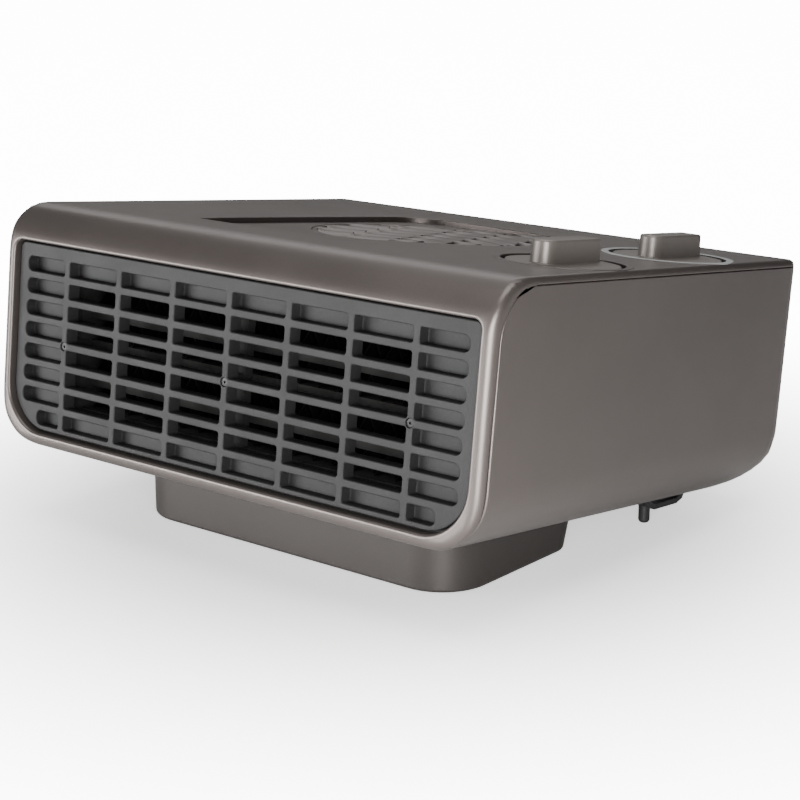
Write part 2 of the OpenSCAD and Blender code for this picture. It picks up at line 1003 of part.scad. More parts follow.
module scroll_plan(g = 0) {
    translate([intake_x, intake_y])
        circle(scroll_r + g);
    polygon([
        [-mouth_half - g, mouth_y],
        [mouth_half + g, mouth_y],
        [intake_x + scroll_r + g, intake_y],
        [intake_x - scroll_r - g, intake_y]
    ]);
}

// Scroll with a mouth that widens towards the heating element
module blower_housing()
    color(black)
        on_foot()
            difference() {
                union() {
                    intersection() {
                        along_z(mouth_low - duct_t, scroll_high)
                            scroll_plan(duct_t);
                        along_x(-half_w, half_w)
                            polygon([
                                [mouth_y, mouth_low - duct_t], [75, scroll_low - duct_t],
                                [200, scroll_low - duct_t], [200, scroll_high], [mouth_y, scroll_high]
                            ]);
                    }
                    for (s = [-1, 1])
                        translate([intake_x, intake_y + s * motor_screw_y, -19])
                            cylinder(r = 4, h = 4);
                }
                intersection() {
                    along_z(mouth_low - duct_t, scroll_high + over)
                        scroll_plan();
                    along_x(-half_w, half_w)
                        polygon([
                            [mouth_y - over, mouth_low], [75, scroll_low],
                            [200, scroll_low], [200, scroll_high + over],
                            [mouth_y - over, scroll_high + over]
                        ]);
                }
                along_y(mouth_y - over, mouth_y + 2)
                    translate([-mouth_half, mouth_low])
                        square([2 * mouth_half, scroll_high - mouth_low + over]);
                translate([intake_x, intake_y, -30])
                    cylinder(r = 7, h = 20);
                for (s = [-1, 1])
                    translate([intake_x, intake_y + s * motor_screw_y, -30])
                        cylinder(r = 1.6, h = 20);
            }

// Lid of the scroll with the inlet collar
module blower_cover()
    color(black)
        on_foot()
            difference() {
                union() {
                    along_z(scroll_high, scroll_high + duct_t)
                        scroll_plan(duct_t);
                    translate([intake_x, intake_y, scroll_high])
                        cylinder(r = 40, h = 13);
                }
                translate([intake_x, intake_y, scroll_high - over])
                    cylinder(r = 37.5, h = 20);
            }

// Centrifugal wheel: back plate, hub, blades and a shroud ring
module impeller()
    color([0.15, 0.15, 0.16])
        on_foot()
            translate([intake_x, intake_y, wheel_low])
                difference() {
                    union() {
                        cylinder(r = wheel_r, h = 2);
                        cylinder(r = 8, h = 16);
                        for (i = [0 : blades - 1])
                            rotate(i * 360 / blades)
                                translate([wheel_r - 6, 0, 1])
                                    rotate(40)
                                        translate([-5, -0.7, 0])
                                            cube([10, 1.4, blade_h]);
                        translate([0, 0, blade_h])
                            difference() {
                                cylinder(r = wheel_r, h = 2);
                                translate([0, 0, -over])
                                    cylinder(r = wheel_r - 9, h = 4);
                            }
                    }
                    translate([0, 0, -over])
                        cylinder(r = motor_shaft_r, h = 30);
                }

// ---- motor ----

module at_motor()
    on_foot()
        translate([intake_x, intake_y, 0])
            children();

// Laminated core: a head with the rotor's bore and a leg for the coil
module motor_stator()
    color([0.45, 0.46, 0.48])
        at_motor()
            difference() {
                along_z(stack_low, stack_high)
                    soft_rect(-48, 22, -22, 22, [1, 4, 4, 1]);
                along_z(stack_low - over, stack_high + over)
                    soft_rect(-40, -22, -13, 13, [1, 1, 1, 1]);
                translate([0, 0, stack_low - over])
                    cylinder(r = bore_r, h = 30);
                for (s = [-1, 1])
                    translate([0, s * motor_screw_y, stack_low - over])
                        cylinder(r = 1.6, h = 30);
            }

// Winding with its end cheeks
module motor_coil()
    color([0.72, 0.42, 0.22])
        at_motor()
            difference() {
                union() {
                    translate([-53, -11, -38])
                        cube([18, 22, 20]);
                    for (s = [-1, 1])
                        translate([-54, s * 12 - 1, -39])
                            cube([20, 2, 22]);
                }
                translate([-48, -20, stack_low])
                    cube([8, 40, stack_high - stack_low]);
            }

module motor_rotor()
    color([0.6, 0.6, 0.62])
        at_motor()
            translate([0, 0, stack_low])
                difference() {
                    cylinder(r = bore_r - 0.4, h = stack_high - stack_low);
                    translate([0, 0, -over])
                        cylinder(r = motor_shaft_r, h = 20);
                }

module motor_shaft()
    color(steel)
        at_motor()
            translate([0, 0, -38.6])
                cylinder(r = motor_shaft_r, h = 42);

// Two straps across the core, one above and one below
module motor_brackets()
    color(steel)
        at_motor()
            for (top = [0, 1])
                translate([0, 0, top ? stack_high : stack_low])
                    mirror([0, 0, top ? 0 : 1])
                        difference() {
                            union() {
                                translate([-6, -22, 2])
                                    cube([12, 44, bracket_t]);
                                for (s = [-1, 1])
                                    translate([-6, s * motor_screw_y - 3.4, 0])
                                        cube([12, 6.8, 2.2]);
                                translate([0, 0, 1])
                                    cylinder(r = 6, h = bracket_t + 1);
                            }
                            translate([0, 0, -over])
                                cylinder(r = bush_r, h = 10);
                            for (s = [-1, 1])
                                translate([0, s * motor_screw_y, -over])
                                    cylinder(r = 1.6, h = 10);
                        }

module motor_bushes()
    color([0.70, 0.55, 0.30])
        at_motor()
            for (z = [stack_low - 4, stack_high + 0.8])
                translate([0, 0, z])
                    difference() {
                        cylinder(r = bush_r, h = 3.2);
                        translate([0, 0, -over])
                            cylinder(r = motor_shaft_r + run_clearance, h = 6);
                    }

module motor_screws()
    color(steel)
        at_motor()
            for (s = [-1, 1])
                translate([0, s * motor_screw_y, stack_low - 4]) {
                    translate([0, 0, -2])
                        cylinder(r = 2.8, h = 2);
                    cylinder(r = 1.5, h = 22.6);
                }

// ---- tip-over lever ----

// Lever seen from the side: eye, arm, sagging tail and its upturned end
module lever_outline() {
    translate(lever_pivot)
        circle(lever_eye_r);
    strip_run([lever_pivot, [lever_pivot[0] + 6, 16.5], [peg_y - 2, 9.6], [peg_y + 4, 6.6],
               [tail_y - 5, 5], [tail_y - 1, 6], [tail_y + 1, 9], [tail_y + 1.4, tail_top]]);
}

function unit(v) = v / norm(v);

// A point of a run moved sideways by h, so that the strip keeps its thickness in the bends
function mitred(pts, i, h) =
    let (
        before = unit(i > 0 ? pts[i] - pts[i - 1] : pts[1] - pts[0]),
        after = unit(i < len(pts) - 1 ? pts[i + 1] - pts[i] : pts[i] - pts[i - 1]),
        side = unit([-(before + after)[1], (before + after)[0]])
    )
    pts[i] + side * h / (side * [-before[1], before[0]]);

// Strip of even thickness through a run of points
module strip_run(pts) {
    last = len(pts) - 1;
    polygon(concat(
        [for (i = [0 : last]) mitred(pts, i, strip / 2)],
        [for (i = [last : -1 : 0]) mitred(pts, i, -strip / 2)]
    ));
}

module tip_lever()
    color(black)
        on_floor()
            difference() {
                union() {
                    along_x(lever_x - lever_w / 2, lever_x + lever_w / 2)
                        lever_outline();
                    translate([lever_x, peg_y, 0])
                        rotate_extrude()
                            soft_rect(0, peg_r, peg_tip, peg_top, [0, 1.6, 0, 0]);
                }
                along_x(lever_x - 10, lever_x + 10)
                    translate(lever_pivot)
                        circle(pin_r + lever_play);
            }

module tip_lever_pin()
    color(steel)
        on_floor()
            along_x(lever_x - lever_w / 2 - ear_play - ear_t, lever_x + lever_w / 2 + 8.5)
                translate(lever_pivot)
                    circle(pin_r);

// Torsion spring on the pin's free end, drawn as its stacked turns
module tip_lever_spring()
    color(steel)
        on_floor()
            for (i = [0 : 4])
                translate([lever_x + lever_w / 2 + 4 + i * 0.9, lever_pivot[0], lever_pivot[1]])
                    rotate([0, 90, 0])
                        rotate_extrude()
                            translate([pin_r + 0.8, 0])
                                circle(0.4);

module tip_switch()
    color(black)
        on_floor()
            along_x(lever_x - 3, lever_x + 3.6)
                translate([leaf_pivot[0], leaf_pivot[1] + 2.6])
                    soft_rect(0, 20, 0, 10.5, [0.6, 0.6, 0.6, 0.6]);

// Sprung leaf under the switch, which the lever's tail holds up
module tip_switch_leaf()
    color(steel)
        on_floor()
            along_x(lever_x - 2, lever_x + 2) {
                translate(leaf_pivot - [0, leaf_t / 2])
                    square([leaf_l, leaf_t]);
                translate(leaf_pivot)
                    circle(0.9);
            }

// ---- supply ----

// Grommet with a through bore for the supply cord
module cord_inlet()
    color(black)
        on_foot()
            translate([inlet[0], body_back, inlet[1]])
                rotate([-90, 0, 0])
                    difference() {
                        union() {
                            cylinder(r = inlet_flange_r, h = inlet_flange_t);
                            translate([0, 0, -wall])
                                cylinder(r = inlet_neck_r, h = wall + 1);
                            translate([0, 0, -wall - inlet_collar_t])
                                cylinder(r = inlet_flange_r - 0.8, h = inlet_collar_t);
                        }
                        translate([0, 0, -20])
                            cylinder(r = inlet_bore_r, h = 40);
                    }

// The block's three ways, side by side
module at_ways(y, z)
    for (i = [-1 : 1])
        translate([block_at[0] + block_size[0] / 2 + i * way_pitch, block_at[1] + y, z])
            children();

module terminal_block()
    color(ivory)
        on_foot()
            difference() {
                translate([block_at[0], block_at[1], inner_floor + block_foot_t - 0.4])
                    cube(block_size);
                at_ways(-10, inner_floor + block_foot_t + way_h - 0.4)
                    rotate([-90, 0, 0])
                        cylinder(r = 2, h = 40);
                at_ways(5, inner_floor + block_foot_t + way_h - 0.4)
                    cylinder(r = 2.2, h = 20);
            }

module terminal_screws()
    color(steel)
        on_foot()
            at_ways(5, inner_floor + block_foot_t + way_h + 1.8)
                cylinder(r = 2.1, h = 4);

upper_shell();
lower_shell();
front_grille();
grille_screws();
top_intake_grille();
rear_cover();
rear_cover_screws();
housing_screws();
foot();
foot_screws();
foot_pads();
selector_knob();
thermostat_knob();
selector_dial_ring();
thermostat_dial_ring();
selector_switch();
selector_shaft();
thermostat_body();
thermostat_shaft();
control_nuts();
heater_frame();
ceramic_bars();
heater_fins();
electrode_tabs();
thermal_cutout();
blower_housing();
blower_cover();
impeller();
motor_stator();
motor_coil();
motor_rotor();
motor_shaft();
motor_brackets();
motor_bushes();
motor_screws();
tip_lever();
tip_lever_pin();
tip_lever_spring();
tip_switch();
tip_switch_leaf();
cord_inlet();
terminal_block();
terminal_screws();
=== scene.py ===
"""The looks of a compact ceramic fan heater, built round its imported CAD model."""
import json
import math

import bmesh
import bpy
import numpy as np
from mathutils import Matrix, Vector
from mathutils.geometry import delaunay_2d_cdt


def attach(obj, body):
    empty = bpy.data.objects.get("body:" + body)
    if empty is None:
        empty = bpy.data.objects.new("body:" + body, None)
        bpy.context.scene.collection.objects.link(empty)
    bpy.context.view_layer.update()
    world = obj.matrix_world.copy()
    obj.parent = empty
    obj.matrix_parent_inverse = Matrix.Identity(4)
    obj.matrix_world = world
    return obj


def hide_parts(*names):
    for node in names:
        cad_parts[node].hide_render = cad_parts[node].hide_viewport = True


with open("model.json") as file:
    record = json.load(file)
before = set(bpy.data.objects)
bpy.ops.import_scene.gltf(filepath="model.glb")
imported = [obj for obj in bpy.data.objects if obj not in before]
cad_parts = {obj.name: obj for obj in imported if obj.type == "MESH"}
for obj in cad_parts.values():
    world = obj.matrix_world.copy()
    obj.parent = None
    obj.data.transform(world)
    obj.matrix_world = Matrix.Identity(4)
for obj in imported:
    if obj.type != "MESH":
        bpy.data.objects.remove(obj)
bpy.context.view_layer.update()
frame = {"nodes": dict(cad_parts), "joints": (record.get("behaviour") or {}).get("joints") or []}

MM = 0.001

# ---- the level housing frame, in millimetres -------------------------------------
# The housing is modelled level, with its origin at the centre of the outlet grille's
# face, and tipped up on its foot. The knobs' and the fan's joints say where it lies.

JOINTS = {j["name"]: j for j in frame["joints"]}
UP = JOINTS["fan_spin"]["axis"]
PITCH = math.atan2(UP[1], UP[2])
COS, SIN = math.cos(PITCH), math.sin(PITCH)

KNOB_X = 97.0
SELECTOR_Y = 77.0
THERMOSTAT_Y = 152.0
DISC_TOP = 55.3
KNOB_AT = JOINTS["selector_turn"]["pos_m"]
GRILLE_Y = KNOB_AT[1] / MM - SELECTOR_Y * COS - DISC_TOP * SIN
GRILLE_Z = KNOB_AT[2] / MM + SELECTOR_Y * SIN - DISC_TOP * COS

HALF_W = 125.0
NOSE = -3.0
BACK = 214.0
BOTTOM = -43.0
TOP = 55.5
SEAM_Y = 1.5
SEAM_Z = 52.6
SEAM_R = 19.5
SEAM_GAP = 0.2
SILL_R, TAIL_R, RIDGE_R, NOSE_R = 5.0, 36.0, 6.0, 22.0
BELLY_R, EDGE_R = 25.0, 2.6
FRONT_CORNER_R, REAR_CORNER_R = 6.0, 9.0
WALL = 2.6                       # how thick the shells' walls are


def to_world(points):
    """Level housing millimetres to metres in the row's frame."""
    p = np.asarray(points, float)
    x, y, z = p[..., 0], p[..., 1], p[..., 2]
    return np.stack([x, GRILLE_Y + y * COS + z * SIN, GRILLE_Z - y * SIN + z * COS], -1) * MM


def on_floor(points):
    """Millimetres over the floor, measured back from under the grille, to metres."""
    p = np.asarray(points, float)
    return np.stack([p[..., 0], GRILLE_Y + p[..., 1], p[..., 2]], -1) * MM


def on_front(points):
    """Points drawn on the outlet's face, (across, up, towards the viewer), to metres."""
    p = np.asarray(points, float)
    return to_world(np.stack([p[..., 0], -p[..., 2], p[..., 1]], -1))


def on_rear(points):
    """Points drawn on the rear wall, (across, up, out of the wall), to metres."""
    p = np.asarray(points, float)
    return to_world(np.stack([p[..., 0], BACK + p[..., 2], p[..., 1]], -1))


def at_place(x, y, z=0.0):
    """A way of placing points drawn round a spot of the level housing."""
    return lambda points: to_world(np.asarray(points, float) + (x, y, z))


# ---- outlines and surfaces -------------------------------------------------------

def ease(t):
    """Slow at both ends of 0 to 1."""
    return t * t * (3 - 2 * t)


def quarter(count):
    """Angles from 0 to a right angle, in radians."""
    return np.radians(np.linspace(0, 90, count))


def rect_loop(x0, x1, y0, y1, radii, sides=(1, 1, 1, 1), arc=8):
    """Counter-clockwise loop of a rectangle with its own radius at each corner.
    Radii run low-left, low-right, high-right, high-left; sides bottom, right, top, left."""
    corners = [(x0, y0, 1, 1), (x1, y0, -1, 1), (x1, y1, -1, -1), (x0, y1, 1, -1)]
    arcs = []
    for i, ((x, y, sx, sy), r) in enumerate(zip(corners, radii)):
        turn = np.radians(np.linspace(180 + 90 * i, 270 + 90 * i, arc + 1))
        arcs.append(np.stack([x + sx * r + r * np.cos(turn), y + sy * r + r * np.sin(turn)], 1))
    loop = []
    for i in range(4):
        loop.append(arcs[i])
        start, end = arcs[i][-1], arcs[(i + 1) % 4][0]
        steps = np.linspace(0, 1, sides[i] + 1)[1:-1, None]
        loop.append(start + (end - start) * steps)
    return np.concatenate(loop)


def circle_loop(x, y, r, n):
    turn = np.linspace(0, 2 * np.pi, n, endpoint=False)
    return np.stack([x + r * np.cos(turn), y + r * np.sin(turn)], 1)


def grow(loop, d):
    """A counter-clockwise loop moved outwards by d along its own normals."""
    tangent = np.roll(loop, -1, 0) - np.roll(loop, 1, 0)
    tangent /= np.linalg.norm(tangent, axis=1)[:, None]
    normal = np.stack([tangent[:, 1], -tangent[:, 0]], 1)
    return loop + normal * np.asarray(d).reshape(-1, 1)


def lift(loop, z):
    """A flat loop at a height, or at one height for each point."""
    return np.column_stack([loop, np.broadcast_to(z, len(loop))])


def rect_distance(x, y, x0, x1, y0, y1, radii):
    """Signed distance to a rectangle with its own radius at each corner."""
    dx, dy = x - (x0 + x1) / 2, y - (y0 + y1) / 2
    r = np.where(dx < 0, np.where(dy < 0, radii[0], radii[3]), np.where(dy < 0, radii[1], radii[2]))
    qx, qy = np.abs(dx) - (x1 - x0) / 2 + r, np.abs(dy) - (y1 - y0) / 2 + r
    outside = np.hypot(np.maximum(qx, 0), np.maximum(qy, 0))
    return np.minimum(np.maximum(qx, qy), 0) + outside - r


SOFTEN = 3.0                     # how widely two rolled edges blend where they meet
SETTLE_PASSES = 9
LEAST_SLOPE = 0.2                # keeps a step from overshooting where the form is flat
LEAD = 1.3                       # how far rows go outside the form, over their depth in it
RIM_STEPS = 6


def blend_max(a, b):
    """The larger of two distances, rounded where they're nearly the same."""
    near = np.clip(SOFTEN - np.abs(a - b), 0, None) / SOFTEN
    return np.maximum(a, b) + near * near * SOFTEN / 4


def housing_distance(p):
    """Signed distance to the housing's outer form."""
    x, y, z = p[:, 0], p[:, 1], p[:, 2]
    side = rect_distance(y, z, NOSE, BACK, BOTTOM, TOP, (SILL_R, TAIL_R, RIDGE_R, NOSE_R))
    front = rect_distance(x, z, -HALF_W, HALF_W, BOTTOM, TOP, (BELLY_R, BELLY_R, EDGE_R, EDGE_R))
    plan = rect_distance(x, y, -HALF_W, HALF_W, NOSE, BACK,
                         (FRONT_CORNER_R, FRONT_CORNER_R, REAR_CORNER_R, REAR_CORNER_R))
    return blend_max(blend_max(side, front), plan) - SOFTEN / 4


def slope(p):
    """Which way, and how fast, the distance to the form grows."""
    step = 0.05
    out = np.zeros_like(p)
    for axis in range(3):
        d = np.zeros(3)
        d[axis] = step
        out[:, axis] = (housing_distance(p + d) - housing_distance(p - d)) / (2 * step)
    return out


def settle(points):
    """Brings points near the housing's skin onto it."""
    shape = np.shape(points)
    p = np.array(points, float).reshape(-1, 3)
    for _ in range(SETTLE_PASSES):
        g = slope(p)
        p -= g * (housing_distance(p) / np.maximum((g * g).sum(1), LEAST_SLOPE))[:, None]
    return p.reshape(shape)


def outward(points):
    """The form's unit normal nearest each point."""
    g = slope(np.array(points, float).reshape(-1, 3))
    return (g / np.linalg.norm(g, axis=1)[:, None]).reshape(np.shape(points))


def across(start, end, rows):
    """Rows over the skin between two runs of points on it, led outside on the way: from
    there each point has only one nearest place on the form."""
    t = np.linspace(0, 1, rows)[:, None, None]
    line = start * (1 - t) + end * t
    away = outward(start) * (1 - t) + outward(end) * t
    depth = -housing_distance(line.reshape(-1, 3)).reshape(line.shape[:2])
    return settle(line + away * np.maximum(depth, 0)[..., None] * LEAD)


def seam_rim(edge, seam):
    """The rolled edge between a skin's last run of points and the seam's line."""
    normal = outward(seam)
    r = np.linalg.norm(seam - edge, axis=1)[:, None]
    rows = []
    for turn in quarter(RIM_STEPS):
        share = math.sin(turn)
        rows.append(edge * (1 - share) + seam * share - normal * r * (1 - math.cos(turn)))
    rows.append(seam - normal * (r + WALL))
    return rows


INSIDE_WITH_HOLES = 2            # a triangulation mode of delaunay_2d_cdt
SAME_POINT = 1e-5


class Skin:
    """Collects a piece's patches, then makes one welded mesh of them. Rectangles in cuts
    are taken out of the bottom in the faces before the one numbered uncut."""

    def __init__(self, place=to_world):
        self.place = place
        self.points = []
        self.faces = []
        self.cuts = []
        self.uncut = None

    def add(self, points):
        base = len(self.points)
        self.points.extend(self.place(points).reshape(-1, 3))
        return base

    def grid(self, rows, closed=False):
        """Quads over rows of points; closed joins each row's end to its start."""
        rows = np.asarray(rows, float)
        count, width = rows.shape[:2]
        base = self.add(rows)
        for i in range(count - 1):
            for j in range(width if closed else width - 1):
                k = (j + 1) % width
                a, b = base + i * width, base + (i + 1) * width
                self.faces.append((a + j, a + k, b + k, b + j))

    def sheet(self, outline, holes=(), height=0.0, inside=(), lifted=None):
        """A flat or gently shaped sheet inside an outline, with holes."""
        loops = [np.asarray(outline), *map(np.asarray, holes)]
        flat = [Vector(p) for loop in loops for p in loop] + [Vector(p) for p in inside]
        rings, start = [], 0
        for n, loop in enumerate(loops):
            ring = list(range(start, start + len(loop)))
            rings.append(ring if n == 0 else ring[::-1])
            start += len(loop)
        found = delaunay_2d_cdt(flat, [], rings, INSIDE_WITH_HOLES, SAME_POINT)
        made = np.array([tuple(v) for v in found[0]])
        z = height if lifted is None else lifted(made[:, 0], made[:, 1])
        base = self.add(np.column_stack([made, np.broadcast_to(z, len(made))]))
        self.faces.extend(tuple(base + i for i in face) for face in found[2])

    def build(self, name, body, material, replaces=(), sharp=40, weld=2e-5):
        mesh = bpy.data.meshes.new(name)
        points = [tuple(p) for p in self.points]
        mesh.from_pydata(points, [], self.faces[:self.uncut])
        bm = bmesh.new()
        bm.from_mesh(mesh)
        if self.cuts:
            for cut in self.cuts:
                cut_bottom(bm, *cut)
            mesh.clear_geometry()
            mesh.from_pydata(points, [], self.faces[self.uncut:])
            bm.from_mesh(mesh)
        bmesh.ops.remove_doubles(bm, verts=bm.verts, dist=weld)
        loose = [v for v in bm.verts if not v.link_faces]
        bmesh.ops.delete(bm, geom=loose, context="VERTS")
        bmesh.ops.recalc_face_normals(bm, faces=bm.faces)
        bm.to_mesh(mesh)
        bm.free()
        mesh.shade_smooth()
        mesh.set_sharp_from_angle(angle=math.radians(sharp))
        piece = bpy.data.objects.new(name, mesh)
        bpy.context.scene.collection.objects.link(piece)
        weigh_normals(piece).keep_sharp = True
        mesh.materials.append(material)
        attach(piece, body)
        if replaces:
            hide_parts(*replaces)
        return piece


def weigh_normals(piece):
    """Lets a piece's large faces set the shading of its narrow ones."""
    weighted = piece.modifiers.new("weighted", "WEIGHTED_NORMAL")
    weighted.weight = 100
    return weighted


CUT_REACH = 12 * MM              # the faces this near a cut may be split by it
ON_PLANE = 1e-7


def cut_bottom(bm, x0, x1, y0, y1):
    """Takes a rectangle, drawn in the level housing's plan, out of the bottom."""
    across_way, back_way = Vector((1, 0, 0)), Vector((0, COS, -SIN))
    low, high = Vector(to_world((x0, y0, BOTTOM))), Vector(to_world((x1, y1, BOTTOM)))
    up = Vector((0, SIN, COS))

    def near(face, room):
        middle = face.calc_center_median()
        if abs((middle - low).dot(up)) > WALL * MM:
            return False
        return all(-room < (middle - low).dot(way) and (middle - high).dot(way) < room
                   for way in (across_way, back_way))

    for way in (across_way, back_way):
        for corner in (low, high):
            faces = [f for f in bm.faces if near(f, CUT_REACH)]
            around = {v for f in faces for v in f.verts} | {e for f in faces for e in f.edges}
            bmesh.ops.bisect_plane(bm, geom=faces + list(around), dist=ON_PLANE,
                                   plane_co=corner, plane_no=way)
    bmesh.ops.delete(bm, geom=[f for f in bm.faces if near(f, 0)], context="FACES")


ROLL_STEPS = 5


def rolled(loop, z_at, r, depth, inwards=True):
    """Rows that round the edge of a flat face and go down: an outline's loop at the wall,
    the face's height, the roll's radius and how far down the wall ends."""
    sign = 1 if inwards else -1
    rows = []
    for turn in quarter(ROLL_STEPS):
        out = sign * r * (1 - np.sin(turn))
        rows.append(lift(grow(loop, out), z_at - r * (1 - np.cos(turn))))
    rows.append(lift(loop, z_at - depth))
    return rows


# ---- materials -------------------------------------------------------------------

class Shader:
    """A principled material with short calls for its procedural detail."""

    def __init__(self, name, **inputs):
        self.material = bpy.data.materials.new(name)
        self.material.use_nodes = True
        self.tree = self.material.node_tree
        self.main = self.tree.nodes["Principled BSDF"]
        for key, value in inputs.items():
            self.main.inputs[key.replace("_", " ")].default_value = value
        self.where = self.node("ShaderNodeTexCoord").outputs["Object"]

    def node(self, kind, **settings):
        made = self.tree.nodes.new(kind)
        for key, value in settings.items():
            setattr(made, key, value)
        return made

    def link(self, a, b):
        self.tree.links.new(a, b)

    def noise(self, scale, detail=3.0, rough=0.5, stretch=None):
        made = self.node("ShaderNodeTexNoise")
        made.inputs["Scale"].default_value = scale
        made.inputs["Detail"].default_value = detail
        made.inputs["Roughness"].default_value = rough
        if stretch:
            mapping = self.node("ShaderNodeMapping")
            mapping.inputs["Scale"].default_value = stretch
            self.link(self.where, mapping.inputs["Vector"])
            self.link(mapping.outputs[0], made.inputs["Vector"])
        else:
            self.link(self.where, made.inputs["Vector"])
        return made.outputs["Fac"]

    def ramp(self, source, stops):
        made = self.node("ShaderNodeValToRGB")
        band = made.color_ramp
        while len(band.elements) < len(stops):
            band.elements.new(0.5)
        for element, (at, color) in zip(band.elements, stops):
            element.position = at
            element.color = (*color, 1)
        self.link(source, made.inputs["Fac"])
        return made.outputs["Color"]

    def spread(self, source, low, high):
        """A source that runs from 0 to 1, brought to run from low to high."""
        made = self.node("ShaderNodeMapRange")
        made.inputs["To Min"].default_value = low
        made.inputs["To Max"].default_value = high
        self.link(source, made.inputs["Value"])
        return made.outputs[0]

    def color(self, source):
        self.link(source, self.main.inputs["Base Color"])

    def roughness(self, source):
        self.link(source, self.main.inputs["Roughness"])

    def bump(self, *layers):
        """Layers of (height, distance in metres, strength), the first at the bottom."""
        last = None
        for source, distance, strength in layers:
            made = self.node("ShaderNodeBump")
            made.inputs["Distance"].default_value = distance
            made.inputs["Strength"].default_value = strength
            self.link(source, made.inputs["Height"])
            if last is not None:
                self.link(last, made.inputs["Normal"])
            last = made.outputs["Normal"]
        self.link(last, self.main.inputs["Normal"])


def shades(color, *factors):
    """A colour made darker or lighter by each factor."""
    return [tuple(min(1.0, c * f) for c in color) for f in factors]


def painted(name, color, rough, metal=0.55):
    """Satin metallic paint on moulded plastic: fine flakes, faint clouding, orange peel."""
    s = Shader(name, Metallic=metal, Coat_Weight=0.12, Coat_Roughness=0.35)
    dark, light = shades(color, 0.93, 1.07)
    clouds = s.ramp(s.noise(9, 4, 0.6), [(0.3, dark), (0.7, light)])
    flakes = s.ramp(s.noise(5200, 1), [(0.35, (0.90,) * 3), (0.65, (1.10,) * 3)])
    mix = s.node("ShaderNodeMix", data_type="RGBA", blend_type="MULTIPLY")
    mix.inputs["Factor"].default_value = 1.0
    s.link(clouds, mix.inputs["A"])
    s.link(flakes, mix.inputs["B"])
    s.color(mix.outputs["Result"])
    s.roughness(s.spread(s.noise(38, 5, 0.65), rough - 0.05, rough + 0.06))
    s.bump((s.noise(900, 2), 0.00003, 0.25), (s.noise(3800, 2), 0.00001, 0.35))
    return s.material


def moulded(name, color, rough, grain=2400, depth=0.00004):
    """Unpainted moulding with a fine spark-eroded grain."""
    s = Shader(name, Specular_IOR_Level=0.4)
    dark, light = shades(color, 0.80, 1.25)
    specks = s.ramp(s.noise(grain, 3, 0.7), [(0.32, dark), (0.52, color), (0.72, light)])
    s.color(specks)
    s.roughness(s.spread(s.noise(60, 4), rough - 0.07, rough + 0.08))
    s.bump((s.noise(grain * 0.7, 3, 0.6), depth, 0.5), (s.noise(60, 3), 0.00005, 0.15))
    return s.material


def metal(name, color, rough=0.35, stretch=(1, 1, 14)):
    """Plain rolled or plated metal with drawn lines and dull patches."""
    s = Shader(name, Metallic=1.0)
    dark, light = shades(color, 0.85, 1.1)
    s.color(s.ramp(s.noise(420, 4, 0.6, stretch), [(0.3, dark), (0.7, light)]))
    s.roughness(s.spread(s.noise(90, 4), rough - 0.08, rough + 0.12))
    s.bump((s.noise(1500, 2, 0.5, stretch), 0.00002, 0.3))
    return s.material


BRONZE = painted("bronze_paint", (0.128, 0.110, 0.102), 0.38, metal=0.7)
FOOT_PAINT = painted("foot_paint", (0.048, 0.042, 0.039), 0.46)
KNOB_PAINT = painted("knob_paint", (0.19, 0.168, 0.152), 0.38, metal=0.35)
GRILLE = moulded("grille_moulding", (0.013, 0.0127, 0.013), 0.6, 1300, 0.0001)
TRIM = moulded("ring_moulding", (0.40, 0.41, 0.405), 0.4, grain=4200)
BLACK = moulded("black_moulding", (0.022, 0.021, 0.022), 0.45)
RUBBER = moulded("rubber", (0.016, 0.016, 0.017), 0.8, grain=1600, depth=0.00008)
PHENOLIC = moulded("heat_proof_moulding", (0.36, 0.32, 0.24), 0.6)
# near-black painted shade for the heater frame and the blower: it makes the dark inside the openings,
# not the parts' own colour
PAINTED_SHADE_INSIDE = moulded("painted_shade_moulding", (0.004, 0.0038, 0.0037), 0.9)
STEEL = metal("plated_steel", (0.42, 0.42, 0.42))
DARK_STEEL = metal("screw_steel", (0.16, 0.16, 0.165), rough=0.4)
BLACKENED = metal("blackened_steel", (0.045, 0.044, 0.045), rough=0.45)
LAMINATIONS = metal("lamination_steel", (0.20, 0.21, 0.22), 0.5, (1, 1, 60))
COPPER = metal("winding_copper", (0.45, 0.17, 0.07), 0.4, (1, 60, 1))
BRONZE_BUSH = metal("sintered_bronze", (0.34, 0.23, 0.10), 0.5)
BRASS = metal("contact_brass", (0.50, 0.36, 0.12), 0.3)
# the heater's fins and ceramic bars are near-black too: painted shade seen through the outlet grille
FINS = metal("fin_strip", (0.012, 0.011, 0.011), 0.7)
CERAMIC = moulded("element_sleeve_painted_shade", (0.007, 0.0065, 0.006), 0.85, grain=900)

# ---- upper shell: nose, bezel and top panel ---------------------------------------

OPEN_ROLL = 1.3                  # rounding of the bezel's inner edge
OPEN_BACK = 3.9                  # how far back the bezel's inner wall ends
OPENING = (-119.3, 119.3, -37.5, 40.9)
OPENING_RADII = (20, 20, 4, 4)
SIDES = (48, 22, 48, 22)         # rows of points along the nose's four straights
ARC = 64                         # and round each of its corners
EDGE_STEPS = 14                  # and up the rounded edge of the top panel
NOSE_ROWS = 64
FLAT_X = 121.9                   # where the top's flat part ends
FLAT_BACK, FLAT_R = BACK - 8.0, 5.9
CORNER_FROM = 21.0               # where the nose's roll has met the flat top
TOP_ROLL = 0.4                   # rounding of the seam's edges along the top
NARROWS_FROM, NARROWS_TO = 2.0, 28.0
NO_ROLL = 0.001                  # gives the seam's own line in place of a rolled edge
NEARLY_SQUARE = 0.005


def edge_roll(z, wide):
    """How wide the seam's edge is rolled: wide low on the front, narrow above it."""
    t = np.clip((np.asarray(z, float) - NARROWS_FROM) / (NARROWS_TO - NARROWS_FROM), 0, 1)
    return wide + (min(wide, TOP_ROLL) - wide) * ease(t)


